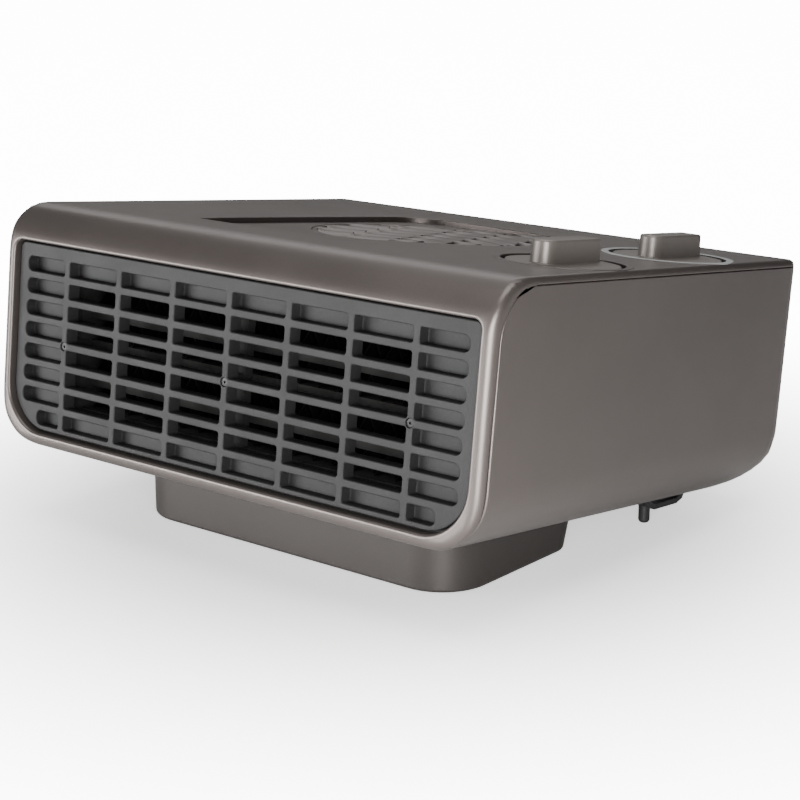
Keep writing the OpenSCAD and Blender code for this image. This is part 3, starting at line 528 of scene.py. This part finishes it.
def seam_corner(side, sign, wide, points):
    """The seam's rise from upright to level on one side face, moved off the seam's line by
    the edge's roll: sign +1 towards the nose, -1 towards the side panel."""
    turn = np.radians(np.linspace(180, 90, points))
    gap = 0.0 if sign > 0 else SEAM_GAP
    r = SEAM_R + sign * (edge_roll(SEAM_Z - SEAM_R + SEAM_R * np.sin(turn), wide) + gap)
    y, z = SEAM_Y + SEAM_R + r * np.cos(turn), SEAM_Z - SEAM_R + r * np.sin(turn)
    return np.stack([np.full_like(y, side * HALF_W), y, z], 1)


FIRST_TOP = 2 * (ARC + 1) + SIDES[0] - 1 + SIDES[1] - 1
NOSE_ROLL, PANEL_ROLL = 1.5, 1.0


def nose_rim(wide):
    """The nose's rear boundary, point for point with the opening's loop."""
    low = rect_loop(-HALF_W, HALF_W, BOTTOM, SEAM_Z - SEAM_R + 2 * NEARLY_SQUARE,
                    (BELLY_R, BELLY_R, NEARLY_SQUARE, NEARLY_SQUARE), SIDES, ARC)
    low = np.column_stack([low[:, 0], SEAM_Y - edge_roll(low[:, 1], wide), low[:, 1]])
    rise = seam_corner(1, 1, wide, ARC - EDGE_STEPS + 1)
    t = np.linspace(0, 1, EDGE_STEPS + 1)[:, None]
    over = rise[-1] * (1 - t) + np.array([FLAT_X, CORNER_FROM, TOP]) * t
    right = np.concatenate([rise, over[1:]])
    left = right[::-1] * (-1, 1, 1)
    across_top = np.linspace(FLAT_X, -FLAT_X, SIDES[2] + 1)[1:-1]
    top = np.stack([across_top, np.full_like(across_top, CORNER_FROM),
                    np.full_like(across_top, TOP)], 1)
    after = FIRST_TOP + 2 * (ARC + 1) + SIDES[2] - 1
    return settle(np.concatenate([low[:FIRST_TOP], right, top, left, low[after:]]))


def opening_loop(out):
    """The bezel's opening, grown by out, on the nose's skin."""
    x0, x1, z0, z1 = OPENING
    radii = [r + out for r in OPENING_RADII]
    loop = rect_loop(x0 - out, x1 + out, z0 - out, z1 + out, radii, SIDES, ARC)
    return settle(np.column_stack([loop[:, 0], np.full(len(loop), NOSE), loop[:, 1]]))


PATH_CORNER, PATH_SIDE = 11, 30  # points round a corner and along a side of the top panel


def panel_path(x, back, r, z):
    """A line round the top panel, from right front, round the back, to left front."""
    turn = quarter(PATH_CORNER)
    cx, cy = x - r, back - r
    right = [(x, y) for y in np.linspace(CORNER_FROM, cy, PATH_SIDE)[:-1]]
    corner = [(cx + r * math.cos(a), cy + r * math.sin(a)) for a in turn]
    half = np.array(right + corner)
    rear = [(v, back) for v in np.linspace(cx, -cx, PATH_SIDE)[1:-1]]
    whole = np.concatenate([half, rear, half[::-1] * (-1, 1)])
    return np.column_stack([whole, np.full(len(whole), z)])


# Scoop round the intake: outline seen from above, front left tip first
SCOOP = np.array([
    (-53, 38), (-20, 38.5), (14, 40), (38, 48), (52, 64), (59, 88), (60.5, 114), (59, 138),
    (50, 154), (34, 163.5), (16, 167.2), (2, 168.6), (-13, 169.6), (-27, 169.4), (-36, 167),
    (-43, 161.5), (-46.5, 154), (-48.5, 140), (-51, 118), (-53, 97), (-55, 74), (-56.2, 56),
    (-56, 45)
], float)
SCOOP_DEPTH, SCOOP_LEAST, SCOOP_ROLL = 2.3, 0.02, 0.35
SCOOP_X, SCOOP_FADE = 48.0, 66.0           # where it has faded out, and over how far
SCOOP_Y, SCOOP_RISE = 38.0, 16.0           # where it starts, and over how far it gets deep
SCOOP_GRID = 4.0
INTAKE = (6.0, 114.0)
INTAKE_R, INTAKE_GAP, INTAKE_WALL = 50.0, 0.3, 4.0
WELL_R = 23.7
WELL_FLOOR = 5.3
CURVE_STEPS = 8


def smooth_loop(points):
    """A closed Catmull-Rom curve through the points."""
    out = []
    n = len(points)
    for i in range(n):
        a, b, c, d = points[i - 1], points[i], points[(i + 1) % n], points[(i + 2) % n]
        for t in np.linspace(0, 1, CURVE_STEPS, endpoint=False):
            out.append(0.5 * (2 * b + (c - a) * t + (2 * a - 5 * b + 4 * c - d) * t**2
                              + (3 * b - a - 3 * c + d) * t**3))
    return np.array(out)


def scoop_depth(x, y):
    """How deep the scoop is: fading towards the right and towards the front."""
    fade = np.clip((SCOOP_X - x) / SCOOP_FADE, 0, 1)
    along = np.clip((y - SCOOP_Y) / SCOOP_RISE, 0, 1)
    return SCOOP_DEPTH * ease(fade) * ease(along) + SCOOP_LEAST


def scoop_floor(x, y):
    return TOP - scoop_depth(x, y)


def upper_shell():
    s = Skin()
    rim, seam = nose_rim(NOSE_ROLL), nose_rim(NO_ROLL)
    lip = opening_loop(OPEN_ROLL)
    s.grid(across(lip, rim, NOSE_ROWS), closed=True)
    edge = []
    for turn in quarter(7):
        row = opening_loop(OPEN_ROLL * (1 - math.sin(turn)))
        row[:, 1] += OPEN_ROLL * (1 - math.cos(turn))
        edge.append(row)
    inner = edge[-1].copy()
    inner[:, 1] = OPEN_BACK
    s.grid(edge + [inner], closed=True)
    # the top panel's edge, from the seam up to the flat part
    narrow = float(edge_roll(SEAM_Z, NOSE_ROLL))
    low = settle(panel_path(HALF_W, BACK, REAR_CORNER_R, SEAM_Z + narrow))
    line = settle(panel_path(HALF_W, BACK, REAR_CORNER_R, SEAM_Z))
    flat = panel_path(FLAT_X, FLAT_BACK, FLAT_R, TOP)
    s.grid(across(low, flat, EDGE_STEPS + 1))
    # the seam's rolled edge: round the nose, then along the top panel
    first = FIRST_TOP + ARC - EDGE_STEPS
    last = first + 2 * EDGE_STEPS + SIDES[2]
    s.grid(seam_rim(*[np.concatenate([run[last:], run[:first + 1]]) for run in (rim, seam)]))
    s.grid(seam_rim(low, line))
    # the flat top with its wells and scoop
    front_x = np.linspace(-FLAT_X, FLAT_X, SIDES[2] + 1)
    front = np.stack([front_x, np.full_like(front_x, CORNER_FROM)], 1)
    outline = np.concatenate([front[:-1], flat[:, :2]])[:-1]
    scoop = smooth_loop(SCOOP)
    if polygon_area(scoop) < 0:
        scoop = scoop[::-1]
    depth = scoop_depth(scoop[:, 0], scoop[:, 1])
    roll = np.minimum(SCOOP_ROLL, depth * 0.6)
    wells = [circle_loop(KNOB_X, y, WELL_R, 96) for y in (SELECTOR_Y, THERMOSTAT_Y)]
    s.sheet(outline, [grow(scoop, roll), *wells], TOP)
    for w in wells:
        s.grid([lift(w, TOP), lift(w, TOP - WELL_FLOOR)], closed=True)
        s.sheet(w, [], TOP - WELL_FLOOR)
    walls = [lift(grow(scoop, roll * (1 - math.sin(turn))), TOP - roll * (1 - math.cos(turn)))
             for turn in quarter(6)]
    walls.append(lift(scoop, TOP - depth))
    s.grid(walls, closed=True)
    intake = circle_loop(*INTAKE, INTAKE_R + INTAKE_GAP, 120)
    gx, gy = np.meshgrid(np.arange(-60, 48, SCOOP_GRID), np.arange(36, 172, SCOOP_GRID))
    inside = [(x, y) for x, y in zip(gx.ravel(), gy.ravel())
              if contains(scoop, x, y, 1.5) and math.dist((x, y), INTAKE) > INTAKE_R + 2]
    s.sheet(scoop, [intake], inside=inside, lifted=scoop_floor)
    down = lift(intake, scoop_floor(intake[:, 0], intake[:, 1]))
    s.grid([down, down - (0, 0, INTAKE_WALL)], closed=True)
    s.build("upper_shell_skin", "housing", BRONZE, ["upper_shell"])


def polygon_area(loop):
    """Positive when the loop runs counter-clockwise."""
    x, y = loop[:, 0], loop[:, 1]
    return 0.5 * (x * np.roll(y, -1) - np.roll(x, -1) * y).sum()


def contains(loop, x, y, margin):
    """True if the point is inside the loop and at least margin from its corners."""
    inside = False
    for (x0, y0), (x1, y1) in zip(loop, np.roll(loop, -1, 0)):
        if (y0 > y) != (y1 > y) and x < x0 + (y - y0) / (y1 - y0) * (x1 - x0):
            inside = not inside
    return inside and np.hypot(loop[:, 0] - x, loop[:, 1] - y).min() > margin


# ---- lower shell: sides, bottom and rear wall --------------------------------------

COVER = (-66, 66, -4, 42)
COVER_R, COVER_GAP, COVER_ROLL, COVER_DEPTH = 5, 0.3, 0.3, 2.2
LEVER_SLOT = (91.9, 99.5, 141.0, 185.0)
JOINT_SCREWS = ((96.4, 38.0), (82.0, 173.0))
HEAD_R, HEAD_DEPTH, HEAD_ROOM = 3.4, 22.0, 0.2
UNDER_BACK = 176.0               # and where it ends
SIDE_BACK = 203.0
SEAM_POINTS = 25                 # points on the seam's corner
SIDE_POINTS, BELLY_POINTS = 12, 19
UNDER_POINTS, PANEL_ROWS, WALL_POINTS = 40, 20, 40
TAIL_LIFT = 1.5                  # from the tail's roll to the rear wall's lowest points
SHARP = (0.01,) * 4


def panel_run(y_low, y_high, top_run):
    """The side panels' and bottom's cross-section run at a distance back, given the points
    of the seam's corner; the bottom may lie at another distance than the sides."""
    lower = SEAM_Z - SEAM_R
    side = [(-HALF_W, z) for z in np.linspace(lower, BOTTOM + BELLY_R, SIDE_POINTS)[1:]]
    belly = [(-HALF_W + BELLY_R * (1 - math.cos(a)), BOTTOM + BELLY_R * (1 - math.sin(a)))
             for a in quarter(BELLY_POINTS)[1:]]
    down = np.array(side + belly)
    share = np.clip((BOTTOM + BELLY_R - down[:, 1]) / BELLY_R, 0, 1)
    down = np.column_stack([down[:, 0], y_high + (y_low - y_high) * share, down[:, 1]])
    return np.concatenate([top_run, down])


def mirrored(half, under):
    """A left half, the points under the housing, and the half again on the right."""
    return np.concatenate([half, under, half[::-1] * (-1, 1, 1)])


def lower_shell():
    s = Skin()
    count = SEAM_POINTS
    under_x = np.linspace(-HALF_W + BELLY_R, HALF_W - BELLY_R, UNDER_POINTS)[1:-1]

    def under(y):
        return np.stack([under_x, np.full_like(under_x, y), np.full_like(under_x, BOTTOM)], 1)

    def front_run(wide):
        y = SEAM_Y + SEAM_GAP + edge_roll(BOTTOM, wide)
        corner = seam_corner(-1, -1, wide, count)[::-1]
        half = panel_run(y, y, corner)
        half[count:, 1] = SEAM_Y + SEAM_GAP + edge_roll(half[count:, 2], wide)
        return settle(mirrored(half, under(y)))

    def seam_level(sign):
        return SEAM_Z - SEAM_GAP - sign * float(edge_roll(SEAM_Z, PANEL_ROLL))

    edge, seam = front_run(PANEL_ROLL), front_run(NO_ROLL)
    narrow = seam_level(1)
    level = np.linspace(narrow, SEAM_Z - SEAM_R, count)
    corner = np.column_stack([np.full(count, -HALF_W), np.full(count, SIDE_BACK), level])
    back = settle(mirrored(panel_run(UNDER_BACK, SIDE_BACK, corner), under(UNDER_BACK)))
    rear = rear_loop(back, narrow)
    share = np.linspace(0, 1, PANEL_ROWS)[:, None, None]
    s.grid(edge[None] * (1 - share) + back[None] * share)
    turn_in = across(back, rear, PANEL_ROWS)
    s.grid(turn_in)
    # the seam's rolled edge: round the front, then along the top
    s.grid(seam_rim(edge, seam))
    wall_x = np.linspace(rear[0, 0], rear[-1, 0], WALL_POINTS)
    wall_y = np.full(WALL_POINTS, BACK)
    wall_top = settle(np.column_stack([wall_x, wall_y, np.full(WALL_POINTS, narrow)]))
    flat_top = np.column_stack([wall_top[:, 0], wall_y, np.full(WALL_POINTS, TOP - RIDGE_R - 1)])
    s.grid(across(wall_top, flat_top, 6))
    for column in (0, -1):
        run = np.concatenate([np.linspace(edge[column], back[column], PANEL_ROWS),
                              turn_in[1:, column]])
        s.grid(seam_rim(run, seam_above(run, seam_level(0))))
    s.grid(seam_rim(wall_top, seam_above(wall_top, seam_level(0))))
    # rear wall inside the last row, with the cover's opening
    outline = np.concatenate([rear[:, [0, 2]], flat_top[::-1][:, [0, 2]]])
    x0, x1, z0, z1 = COVER
    hole = rect_loop(x0 - COVER_GAP, x1 + COVER_GAP, z0 - COVER_GAP, z1 + COVER_GAP, (COVER_R,) * 4)
    s.place = on_rear
    s.sheet(unique_loop(outline), [grow(hole, COVER_ROLL)])
    s.grid(rolled(hole, 0.0, COVER_ROLL, COVER_DEPTH), closed=True)
    s.place = to_world
    bottom_holes(s)
    s.build("lower_shell_skin", "housing", BRONZE, ["lower_shell"])


def bottom_holes(s):
    """The lever's slot and the recesses of the four screws that join the shells."""
    x0, x1, y0, y1 = LEVER_SLOT
    s.uncut = len(s.faces)
    s.cuts.append(LEVER_SLOT)
    slot = rect_loop(x0, x1, y0, y1, SHARP, (3, 16, 3, 16), 1)
    s.grid([settle(lift(slot, BOTTOM)), lift(slot, BOTTOM + WALL)], closed=True)
    for x, y in JOINT_SCREWS:
        for middle in (x, -x):
            half = HEAD_R + HEAD_ROOM
            square = (middle - half, middle + half, y - half, y + half)
            s.cuts.append(square)
            hole = circle_loop(middle, y, HEAD_R, 40)
            s.sheet(rect_loop(*square, SHARP, arc=1), [hole], BOTTOM)
            s.grid([lift(hole, BOTTOM), lift(hole, BOTTOM + HEAD_DEPTH)], closed=True)


def seam_above(run, level):
    """The seam's line right above a run along the side panels' top edge."""
    line = run.copy()
    line[:, 2] = level
    return settle(line)


def unique_loop(loop):
    """A loop without points that repeat the one before them."""
    step = np.linalg.norm(loop - np.roll(loop, 1, 0), axis=1)
    return loop[step > 1e-4]


def rear_loop(back, top):
    """The run's points drawn in onto the rear wall's flat part."""
    x = back[:, 0] * (HALF_W - REAR_CORNER_R - 2) / HALF_W
    low = BOTTOM + TAIL_R + TAIL_LIFT
    z = np.interp(back[:, 2], [BOTTOM, BOTTOM + BELLY_R, 40, top], [low, low + 3, 41, top])
    return settle(np.column_stack([x, np.full(len(back), BACK), z]))


# ---- outlet grille -----------------------------------------------------------------

COLUMNS = ROWS = 8
COLUMN_PITCH, ROW_PITCH = 30.0, 9.0
CELL_W, CELL_H, CELL_R = 27.1, 6.0, 1.0
END_CELL_W, END_CELL_R, CORNER_CELL_W = 22.0, 2.6, 13.0
GRILLE_T, POCKET_DEPTH, GRILLE_GAP = 6.0, 5.0, 0.9
GRILLE_ROLL, GRILLE_EDGE, GRILLE_FLANGE = 0.6, 4.0, 2.4
CELL_ROLL, POCKET_FILLET = 0.5, 0.5
GRILLE_SCREWS = (-90.0, 0.0, 90.0)
SEAT_R, SEAT_ROLL, SEAT_DEPTH = 1.9, 0.08, 1.4


def cell_loop(column, row):
    """One cell's outline: the outer ones are short, with round outer ends."""
    x = (column - (COLUMNS - 1) / 2) * COLUMN_PITCH
    z = ((ROWS - 1) / 2 - row) * ROW_PITCH
    low, high = x - CELL_W / 2, x + CELL_W / 2
    radii = [CELL_R] * 4
    width = CORNER_CELL_W if row == ROWS - 1 else END_CELL_W
    if column == 0:
        low = high - width
        radii[0] = radii[3] = END_CELL_R
    if column == COLUMNS - 1:
        high = low + width
        radii[1] = radii[2] = END_CELL_R
    return rect_loop(low, high, z - CELL_H / 2, z + CELL_H / 2, radii, arc=5)


def is_blind(column, row):
    return column in (0, COLUMNS - 1) or row in (0, ROWS - 1)


def front_grille():
    s = Skin(on_front)
    x0, x1, z0, z1 = OPENING
    edge = rect_loop(x0 + GRILLE_GAP, x1 - GRILLE_GAP, z0 + GRILLE_GAP, z1 - GRILLE_GAP,
                     (19, 19, 3, 3), (40, 14, 40, 14), 14)
    flange = grow(edge, GRILLE_FLANGE)
    s.grid([*rolled(edge, 0.0, GRILLE_ROLL, GRILLE_EDGE, inwards=False),
            lift(flange, -GRILLE_EDGE), lift(flange, -GRILLE_T)], closed=True)
    holes = []
    for column in range(COLUMNS):
        for row in range(ROWS):
            cell = cell_loop(column, row)
            holes.append(grow(cell, CELL_ROLL))
            blind = is_blind(column, row)
            depth = POCKET_DEPTH if blind else GRILLE_T
            s.grid(rolled(cell, 0.0, CELL_ROLL, depth - POCKET_FILLET * blind), closed=True)
            if blind:
                floor = grow(cell, -POCKET_FILLET)
                part_way = 0.3 * POCKET_FILLET
                s.grid([lift(cell, POCKET_FILLET - depth),
                        lift(grow(cell, -part_way), part_way - depth),
                        lift(floor, -depth)], closed=True)
                s.sheet(floor, height=-depth)
    for x in GRILLE_SCREWS:
        seat = circle_loop(x, 0, SEAT_R, 32)
        holes.append(grow(seat, SEAT_ROLL))
        s.grid(rolled(seat, 0.0, SEAT_ROLL, SEAT_DEPTH), closed=True)
        s.sheet(seat, height=-SEAT_DEPTH)
    s.sheet(grow(edge, -GRILLE_ROLL), holes)
    s.build("front_grille_skin", "housing", GRILLE, ["front_grille"], weld=1e-5)


# ---- top intake --------------------------------------------------------------------

RIB_ANGLE = math.radians(110)
RIBS = (-48.4, -26.9, -5.4, 16.1, 37.6, 59.1)
LOUVRE_STEP = 15.4               # between louvres, along the ribs
BLADE_SHARE = 0.64               # of the room between two louvres
BLADE_POINTS = 21
BLADE_ENDS = 0.28                # a louvre's width at its left rib, as a share of the whole
RING_W, RING_DEPTH = 2.4, 3
# (share of the width, height over the scoop's floor) round a louvre, and round a rib
BLADE_PROFILE = ((0.0, -2.8), (0.0, -2.1), (0.03, -1.7), (0.10, -1.3), (0.25, -0.8), (0.45, -0.32),
                 (0.65, 0.02), (0.82, 0.22), (0.92, 0.25), (0.97, 0.14), (1.0, -0.1), (1.0, -1.3),
                 (0.7, -1.6), (0.0, -2.8))
RIB_PROFILE = ((-1.1, -3.2), (-1.1, -1.9), (-0.7, -1.6), (0.7, -1.6), (1.1, -1.9), (1.1, -3.2),
               (-1.1, -3.2))

ALONG = np.array([math.cos(RIB_ANGLE), math.sin(RIB_ANGLE)])
ACROSS = np.array([ALONG[1], -ALONG[0]])


def louvre_path(step, left, right):
    """Plan points of one louvre between two ribs: straight at the right, bowed at the left."""
    u = np.linspace(left, right, BLADE_POINTS)
    bend = np.clip(20 - u, 0, 39)
    beyond = np.clip(-19 - u, 0, None)
    v = step * LOUVRE_STEP - 1.19 * (u + beyond - 20) - 0.017 * bend * bend - 0.14 * beyond
    return np.array(INTAKE) + u[:, None] * ACROSS + v[:, None] * ALONG


def top_intake_grille():
    s = Skin()
    ring = circle_loop(*INTAKE, INTAKE_R, 120)
    inner = circle_loop(*INTAKE, INTAKE_R - RING_W, 120)
    height = scoop_floor(ring[:, 0], ring[:, 1])
    level = scoop_floor(inner[:, 0], inner[:, 1])
    s.grid([lift(ring, height - RING_DEPTH), lift(ring, height - 0.25),
            lift(grow(ring, -0.3), height - 0.05), lift(grow(inner, 0.3), level - 0.05),
            lift(inner, level - 0.35), lift(inner, level - RING_DEPTH)], closed=True)
    reach = INTAKE_R - RING_W / 2
    for u in RIBS[1:-1]:
        half = math.sqrt(max(reach**2 - u * u, 0))
        spots = np.array(INTAKE) + u * ACROSS + np.linspace(-half, half, 14)[:, None] * ALONG
        z = scoop_floor(spots[:, 0], spots[:, 1])
        s.grid([lift(spots + a * ACROSS, z + b) for a, b in RIB_PROFILE])
    for left, right in zip(RIBS[:-1], RIBS[1:]):
        for step in range(-8, 6):
            blade(s, step, left, right, reach)
    s.build("top_intake_skin", "housing", BRONZE, ["top_intake_grille"], weld=1e-6)


def blade(s, step, left, right, reach):
    """One louvre in one bay. Its rear edge is high, and beside the left rib it is narrow,
    which leaves a three-cornered way in for the air."""
    path = louvre_path(step, left, right)
    inside = np.hypot(*(path - INTAKE).T) < reach
    if inside.sum() < 4:
        return
    path = path[inside]
    t = np.linspace(0, 1, len(inside))[inside]
    tangent = np.gradient(path, axis=0)
    tangent /= np.linalg.norm(tangent, axis=1)[:, None]
    back = np.stack([-tangent[:, 1], tangent[:, 0]], 1)
    room = LOUVRE_STEP * np.abs(tangent @ ACROSS)
    width = BLADE_SHARE * room * (BLADE_ENDS + (1 - BLADE_ENDS) * ease(np.clip(t / 0.5, 0, 1)))
    # how far back each point may reach before it meets the ring
    from_middle = path - INTAKE
    along = (from_middle * back).sum(1)
    width = np.minimum(width, np.sqrt(along**2 + reach**2 - (from_middle**2).sum(1)) - along)
    z = scoop_floor(path[:, 0], path[:, 1])
    rows = [lift(path + back * (width * share)[:, None], z + up) for share, up in BLADE_PROFILE]
    s.grid(rows)
    for end in (0, -1):
        base = s.add([row[end] for row in rows[:-1]])
        s.faces.append(tuple(range(base, base + len(rows) - 1)))


# ---- knobs -------------------------------------------------------------------------

KNOB_R, DISC_T, DISC_ROLL = 22.0, 2.4, 0.45
GRIP_L, GRIP_W, GRIP_H = 35.5, 11.0, 9.0
GRIP_RADII = (5.4, 5.4, 1.8, 1.8)
GRIP_FILLET, GRIP_DRAFT, GRIP_ROLL = 0.6, 0.35, 0.9


def knob(name, node, y, body):
    s = Skin(at_place(KNOB_X, y, DISC_TOP))
    rim = circle_loop(0, 0, KNOB_R, 120)
    s.grid(rolled(rim, 0.0, DISC_ROLL, DISC_T, inwards=False), closed=True)
    s.sheet(rim, height=-DISC_T)
    grip = rect_loop(-GRIP_W / 2, GRIP_W / 2, -GRIP_L / 2, GRIP_L / 2, GRIP_RADII, (4, 14, 4, 14), 14)
    rows = [lift(grow(grip, GRIP_FILLET * (1 - math.sin(a))), GRIP_FILLET * (1 - math.cos(a)))
            for a in quarter(5)]
    rows.append(lift(grow(grip, -GRIP_DRAFT * 0.5), GRIP_H * 0.5))
    for a in quarter(7):
        inset = GRIP_DRAFT + GRIP_ROLL * (1 - math.cos(a))
        rows.append(lift(grow(grip, -inset), GRIP_H - GRIP_ROLL + GRIP_ROLL * math.sin(a)))
    s.grid(rows, closed=True)
    s.sheet(rows[-1][:, :2], height=GRIP_H)
    s.sheet(grow(rim, -DISC_ROLL), [rows[0][:, :2]])
    s.build(name, body, KNOB_PAINT, [node], sharp=50)


# ---- foot --------------------------------------------------------------------------

FOOT_X = (-77.5, 90.5)
FOOT_Y = (24.5, 103.0)
FOOT_RADII = (21, 21, 9, 9)
FOOT_ROLL, FOOT_HOLE_ROLL = 1.6, 0.3
FOOT_LEAN, LEAN_FROM = 5.1 / 13.5, 70    # how the rear leans, and from how far back
PAD_PROUD = 0.8
SCREW_HOLE_R, SCREW_HOLE_DEPTH = 4.0, 7.2
PAD_HOLE_R, PAD_HOLE_DEPTH = 6.2, 1.4
FOOT_FIX_X = (-62.5, 75.5)
FOOT_SCREW_Y = (56.5, 79.0)
FOOT_PAD_Y = (38.5, 94.0)


def foot():
    s = Skin(on_floor)
    loop = rect_loop(*FOOT_X, *FOOT_Y, FOOT_RADII, (40, 14, 40, 14), 16)
    rear = np.clip((loop[:, 1] - LEAN_FROM) / (FOOT_Y[1] - LEAN_FROM), 0, 1)

    def at_height(out, z):
        ring = grow(loop, out)
        ring[:, 1] += rear * FOOT_LEAN * z
        return lift(ring, z)

    rows = [at_height(-FOOT_ROLL * (1 - math.sin(a)), PAD_PROUD + FOOT_ROLL * (1 - math.cos(a)))
            for a in quarter(6)]
    shell = rows[-1]
    under = GRILLE_Z + (BOTTOM + 0.6 - (shell[:, 1] + 4) * SIN) / COS
    for t in (0.33, 0.66, 1.0):
        z = shell[:, 2] + (under - shell[:, 2]) * t
        rows.append(at_height(0.0, z))
    s.grid(rows, closed=True)
    holes = [(circle_loop(x, y, SCREW_HOLE_R, 40), SCREW_HOLE_DEPTH)
             for x in FOOT_FIX_X for y in FOOT_SCREW_Y]
    holes += [(circle_loop(x, y, PAD_HOLE_R, 48), PAD_HOLE_DEPTH)
              for x in FOOT_FIX_X for y in FOOT_PAD_Y]
    s.sheet(rows[0][:, :2], [grow(hole, FOOT_HOLE_ROLL) for hole, _ in holes], PAD_PROUD)
    for hole, deep in holes:
        ring = [lift(grow(hole, FOOT_HOLE_ROLL * (1 - math.sin(a))),
                     PAD_PROUD + FOOT_HOLE_ROLL * (1 - math.cos(a))) for a in quarter(4)]
        s.grid(ring + [lift(hole, PAD_PROUD + deep)], closed=True)
        s.sheet(hole, height=PAD_PROUD + deep)
    s.build("foot_skin", "housing", FOOT_PAINT, ["foot"])


# ---- CAD parts that show as they are: rounded edges and their own finish -------------

FINISH = {
    "top": {"selector_dial_ring": BRONZE, "thermostat_dial_ring": TRIM, "rear_cover": BRONZE,
            "tip_lever": BLACK, "cord_inlet": RUBBER, "foot_pads": RUBBER},
    "screws": {"grille_screws": BLACKENED, "rear_cover_screws": DARK_STEEL,
               "housing_screws": DARK_STEEL, "foot_screws": DARK_STEEL},
    # heater_frame, ceramic_bars, heater_fins, blower_housing and blower_cover get near-black
    # materials: painted shade in the openings
    "inside": {
        "selector_switch": PHENOLIC, "thermostat_body": PHENOLIC, "terminal_block": PHENOLIC,
        "selector_shaft": STEEL, "thermostat_shaft": STEEL, "control_nuts": STEEL,
        "terminal_screws": BRASS, "heater_frame": PAINTED_SHADE_INSIDE, "ceramic_bars": CERAMIC,
        "heater_fins": FINS, "electrode_tabs": BRASS, "thermal_cutout": BLACK,
        "blower_housing": PAINTED_SHADE_INSIDE, "blower_cover": PAINTED_SHADE_INSIDE, "impeller": BLACK,
        "motor_stator": LAMINATIONS, "motor_rotor": LAMINATIONS, "motor_coil": COPPER,
        "motor_shaft": STEEL, "motor_brackets": STEEL, "motor_bushes": BRONZE_BUSH,
        "motor_screws": STEEL, "tip_lever_pin": STEEL, "tip_lever_spring": STEEL,
        "tip_switch": BLACK, "tip_switch_leaf": BRASS,
    },
}
# rounding of their edges, in millimetres
EDGE = {"selector_dial_ring": 0.35, "thermostat_dial_ring": 0.35, "tip_lever": 0.5,
        "cord_inlet": 0.5, "foot_pads": 0.4, "grille_screws": 0.12, "rear_cover_screws": 0.3,
        "housing_screws": 0.3, "foot_screws": 0.3}


def finish_cad_parts():
    for group in FINISH.values():
        for node, material in group.items():
            part = frame["nodes"][node]
            part.data.materials.clear()
            part.data.materials.append(material)
            if node in EDGE:
                weld = part.modifiers.new("weld", "WELD")
                weld.merge_threshold = SAME_POINT
                bevel = part.modifiers.new("bevel", "BEVEL")
                bevel.width = EDGE[node] * MM
                bevel.segments = 3
                bevel.limit_method = "ANGLE"
                bevel.angle_limit = math.radians(40)
                weigh_normals(part)


upper_shell()
lower_shell()
front_grille()
top_intake_grille()
knob("selector_knob_skin", "selector_knob", SELECTOR_Y, "selector")
knob("thermostat_knob_skin", "thermostat_knob", THERMOSTAT_Y, "thermostat")
foot()
finish_cad_parts()

# ---- stage, light and camera ---------------------------------------------------------

# how far from the middle the paper starts and ends getting brighter, and how bright it is
PAPER_GLOW = {"From Min": 0.10, "From Max": 0.45, "To Min": 0.9, "To Max": 14.0}


def make_stage():
    bpy.ops.mesh.primitive_plane_add(size=8, location=(0, 0, 0))
    floor = bpy.context.object
    floor.name = "floor"
    s = Shader("floor_paper", Roughness=0.45)
    s.main.inputs["Base Color"].default_value = (0.92, 0.92, 0.92, 1)
    # the paper glows white to the camera away from the object, and lights nothing
    away = s.node("ShaderNodeVectorMath", operation="LENGTH")
    s.link(s.where, away.inputs[0])
    glow = s.node("ShaderNodeMapRange", interpolation_type="SMOOTHSTEP")
    for key, value in PAPER_GLOW.items():
        glow.inputs[key].default_value = value
    s.link(away.outputs["Value"], glow.inputs["Value"])
    seen = s.node("ShaderNodeMath", operation="MULTIPLY")
    s.link(glow.outputs[0], seen.inputs[0])
    s.link(s.node("ShaderNodeLightPath").outputs["Is Camera Ray"], seen.inputs[1])
    s.main.inputs["Emission Color"].default_value = (1, 1, 1, 1)
    s.link(seen.outputs[0], s.main.inputs["Emission Strength"])
    floor.data.materials.append(s.material)


LIGHTS = (                       # name, place, aim, size, watts
    ("ceiling", (0, 0.1, 3), (0, 0, 0), (2.5, 2.5), 66),
    ("rear", (-1.0, 1.3, 1.1), (0, 0, 0.1), (1.6, 0.8), 6),
    ("front", (-0.85, -1.10, 0.20), (-0.02, -0.1, 0.06), (0.9, 0.45), 17),
    ("right", (0.36, -0.42, 0.13), (0.125, -0.11, 0.06), (0.2, 0.2), 3.6),
    ("low", (-0.25, -0.62, 0.02), (0, -0.11, 0.03), (0.9, 0.12), 2.4),
)


def area_light(name, place, aim, size, watts):
    data = bpy.data.lights.new(name, "AREA")
    data.shape = "RECTANGLE"
    data.size, data.size_y = size
    data.energy = watts
    lamp = bpy.data.objects.new(name, data)
    lamp.location = place
    lamp.rotation_euler = (Vector(aim) - Vector(place)).to_track_quat("-Z", "Y").to_euler()
    bpy.context.scene.collection.objects.link(lamp)


def make_light():
    world = bpy.data.worlds.new("studio")
    world.use_nodes = True
    around = world.node_tree.nodes["Background"]
    around.inputs["Color"].default_value = (1, 1, 1, 1)
    around.inputs["Strength"].default_value = 0.06
    bpy.context.scene.world = world
    for light in LIGHTS:
        area_light(*light)


def make_camera():
    data = bpy.data.cameras.new("camera")
    data.lens = 88.9
    data.sensor_width = 36
    data.clip_start = 0.01
    cam = bpy.data.objects.new("camera", data)
    cam.location = (0.5065, GRILLE_Y * MM - 0.5203, 0.2654)
    cam.rotation_euler = (math.radians(74.73), 0, math.radians(38.96))
    bpy.context.scene.collection.objects.link(cam)
    bpy.context.scene.camera = cam


make_stage()
make_light()
make_camera()
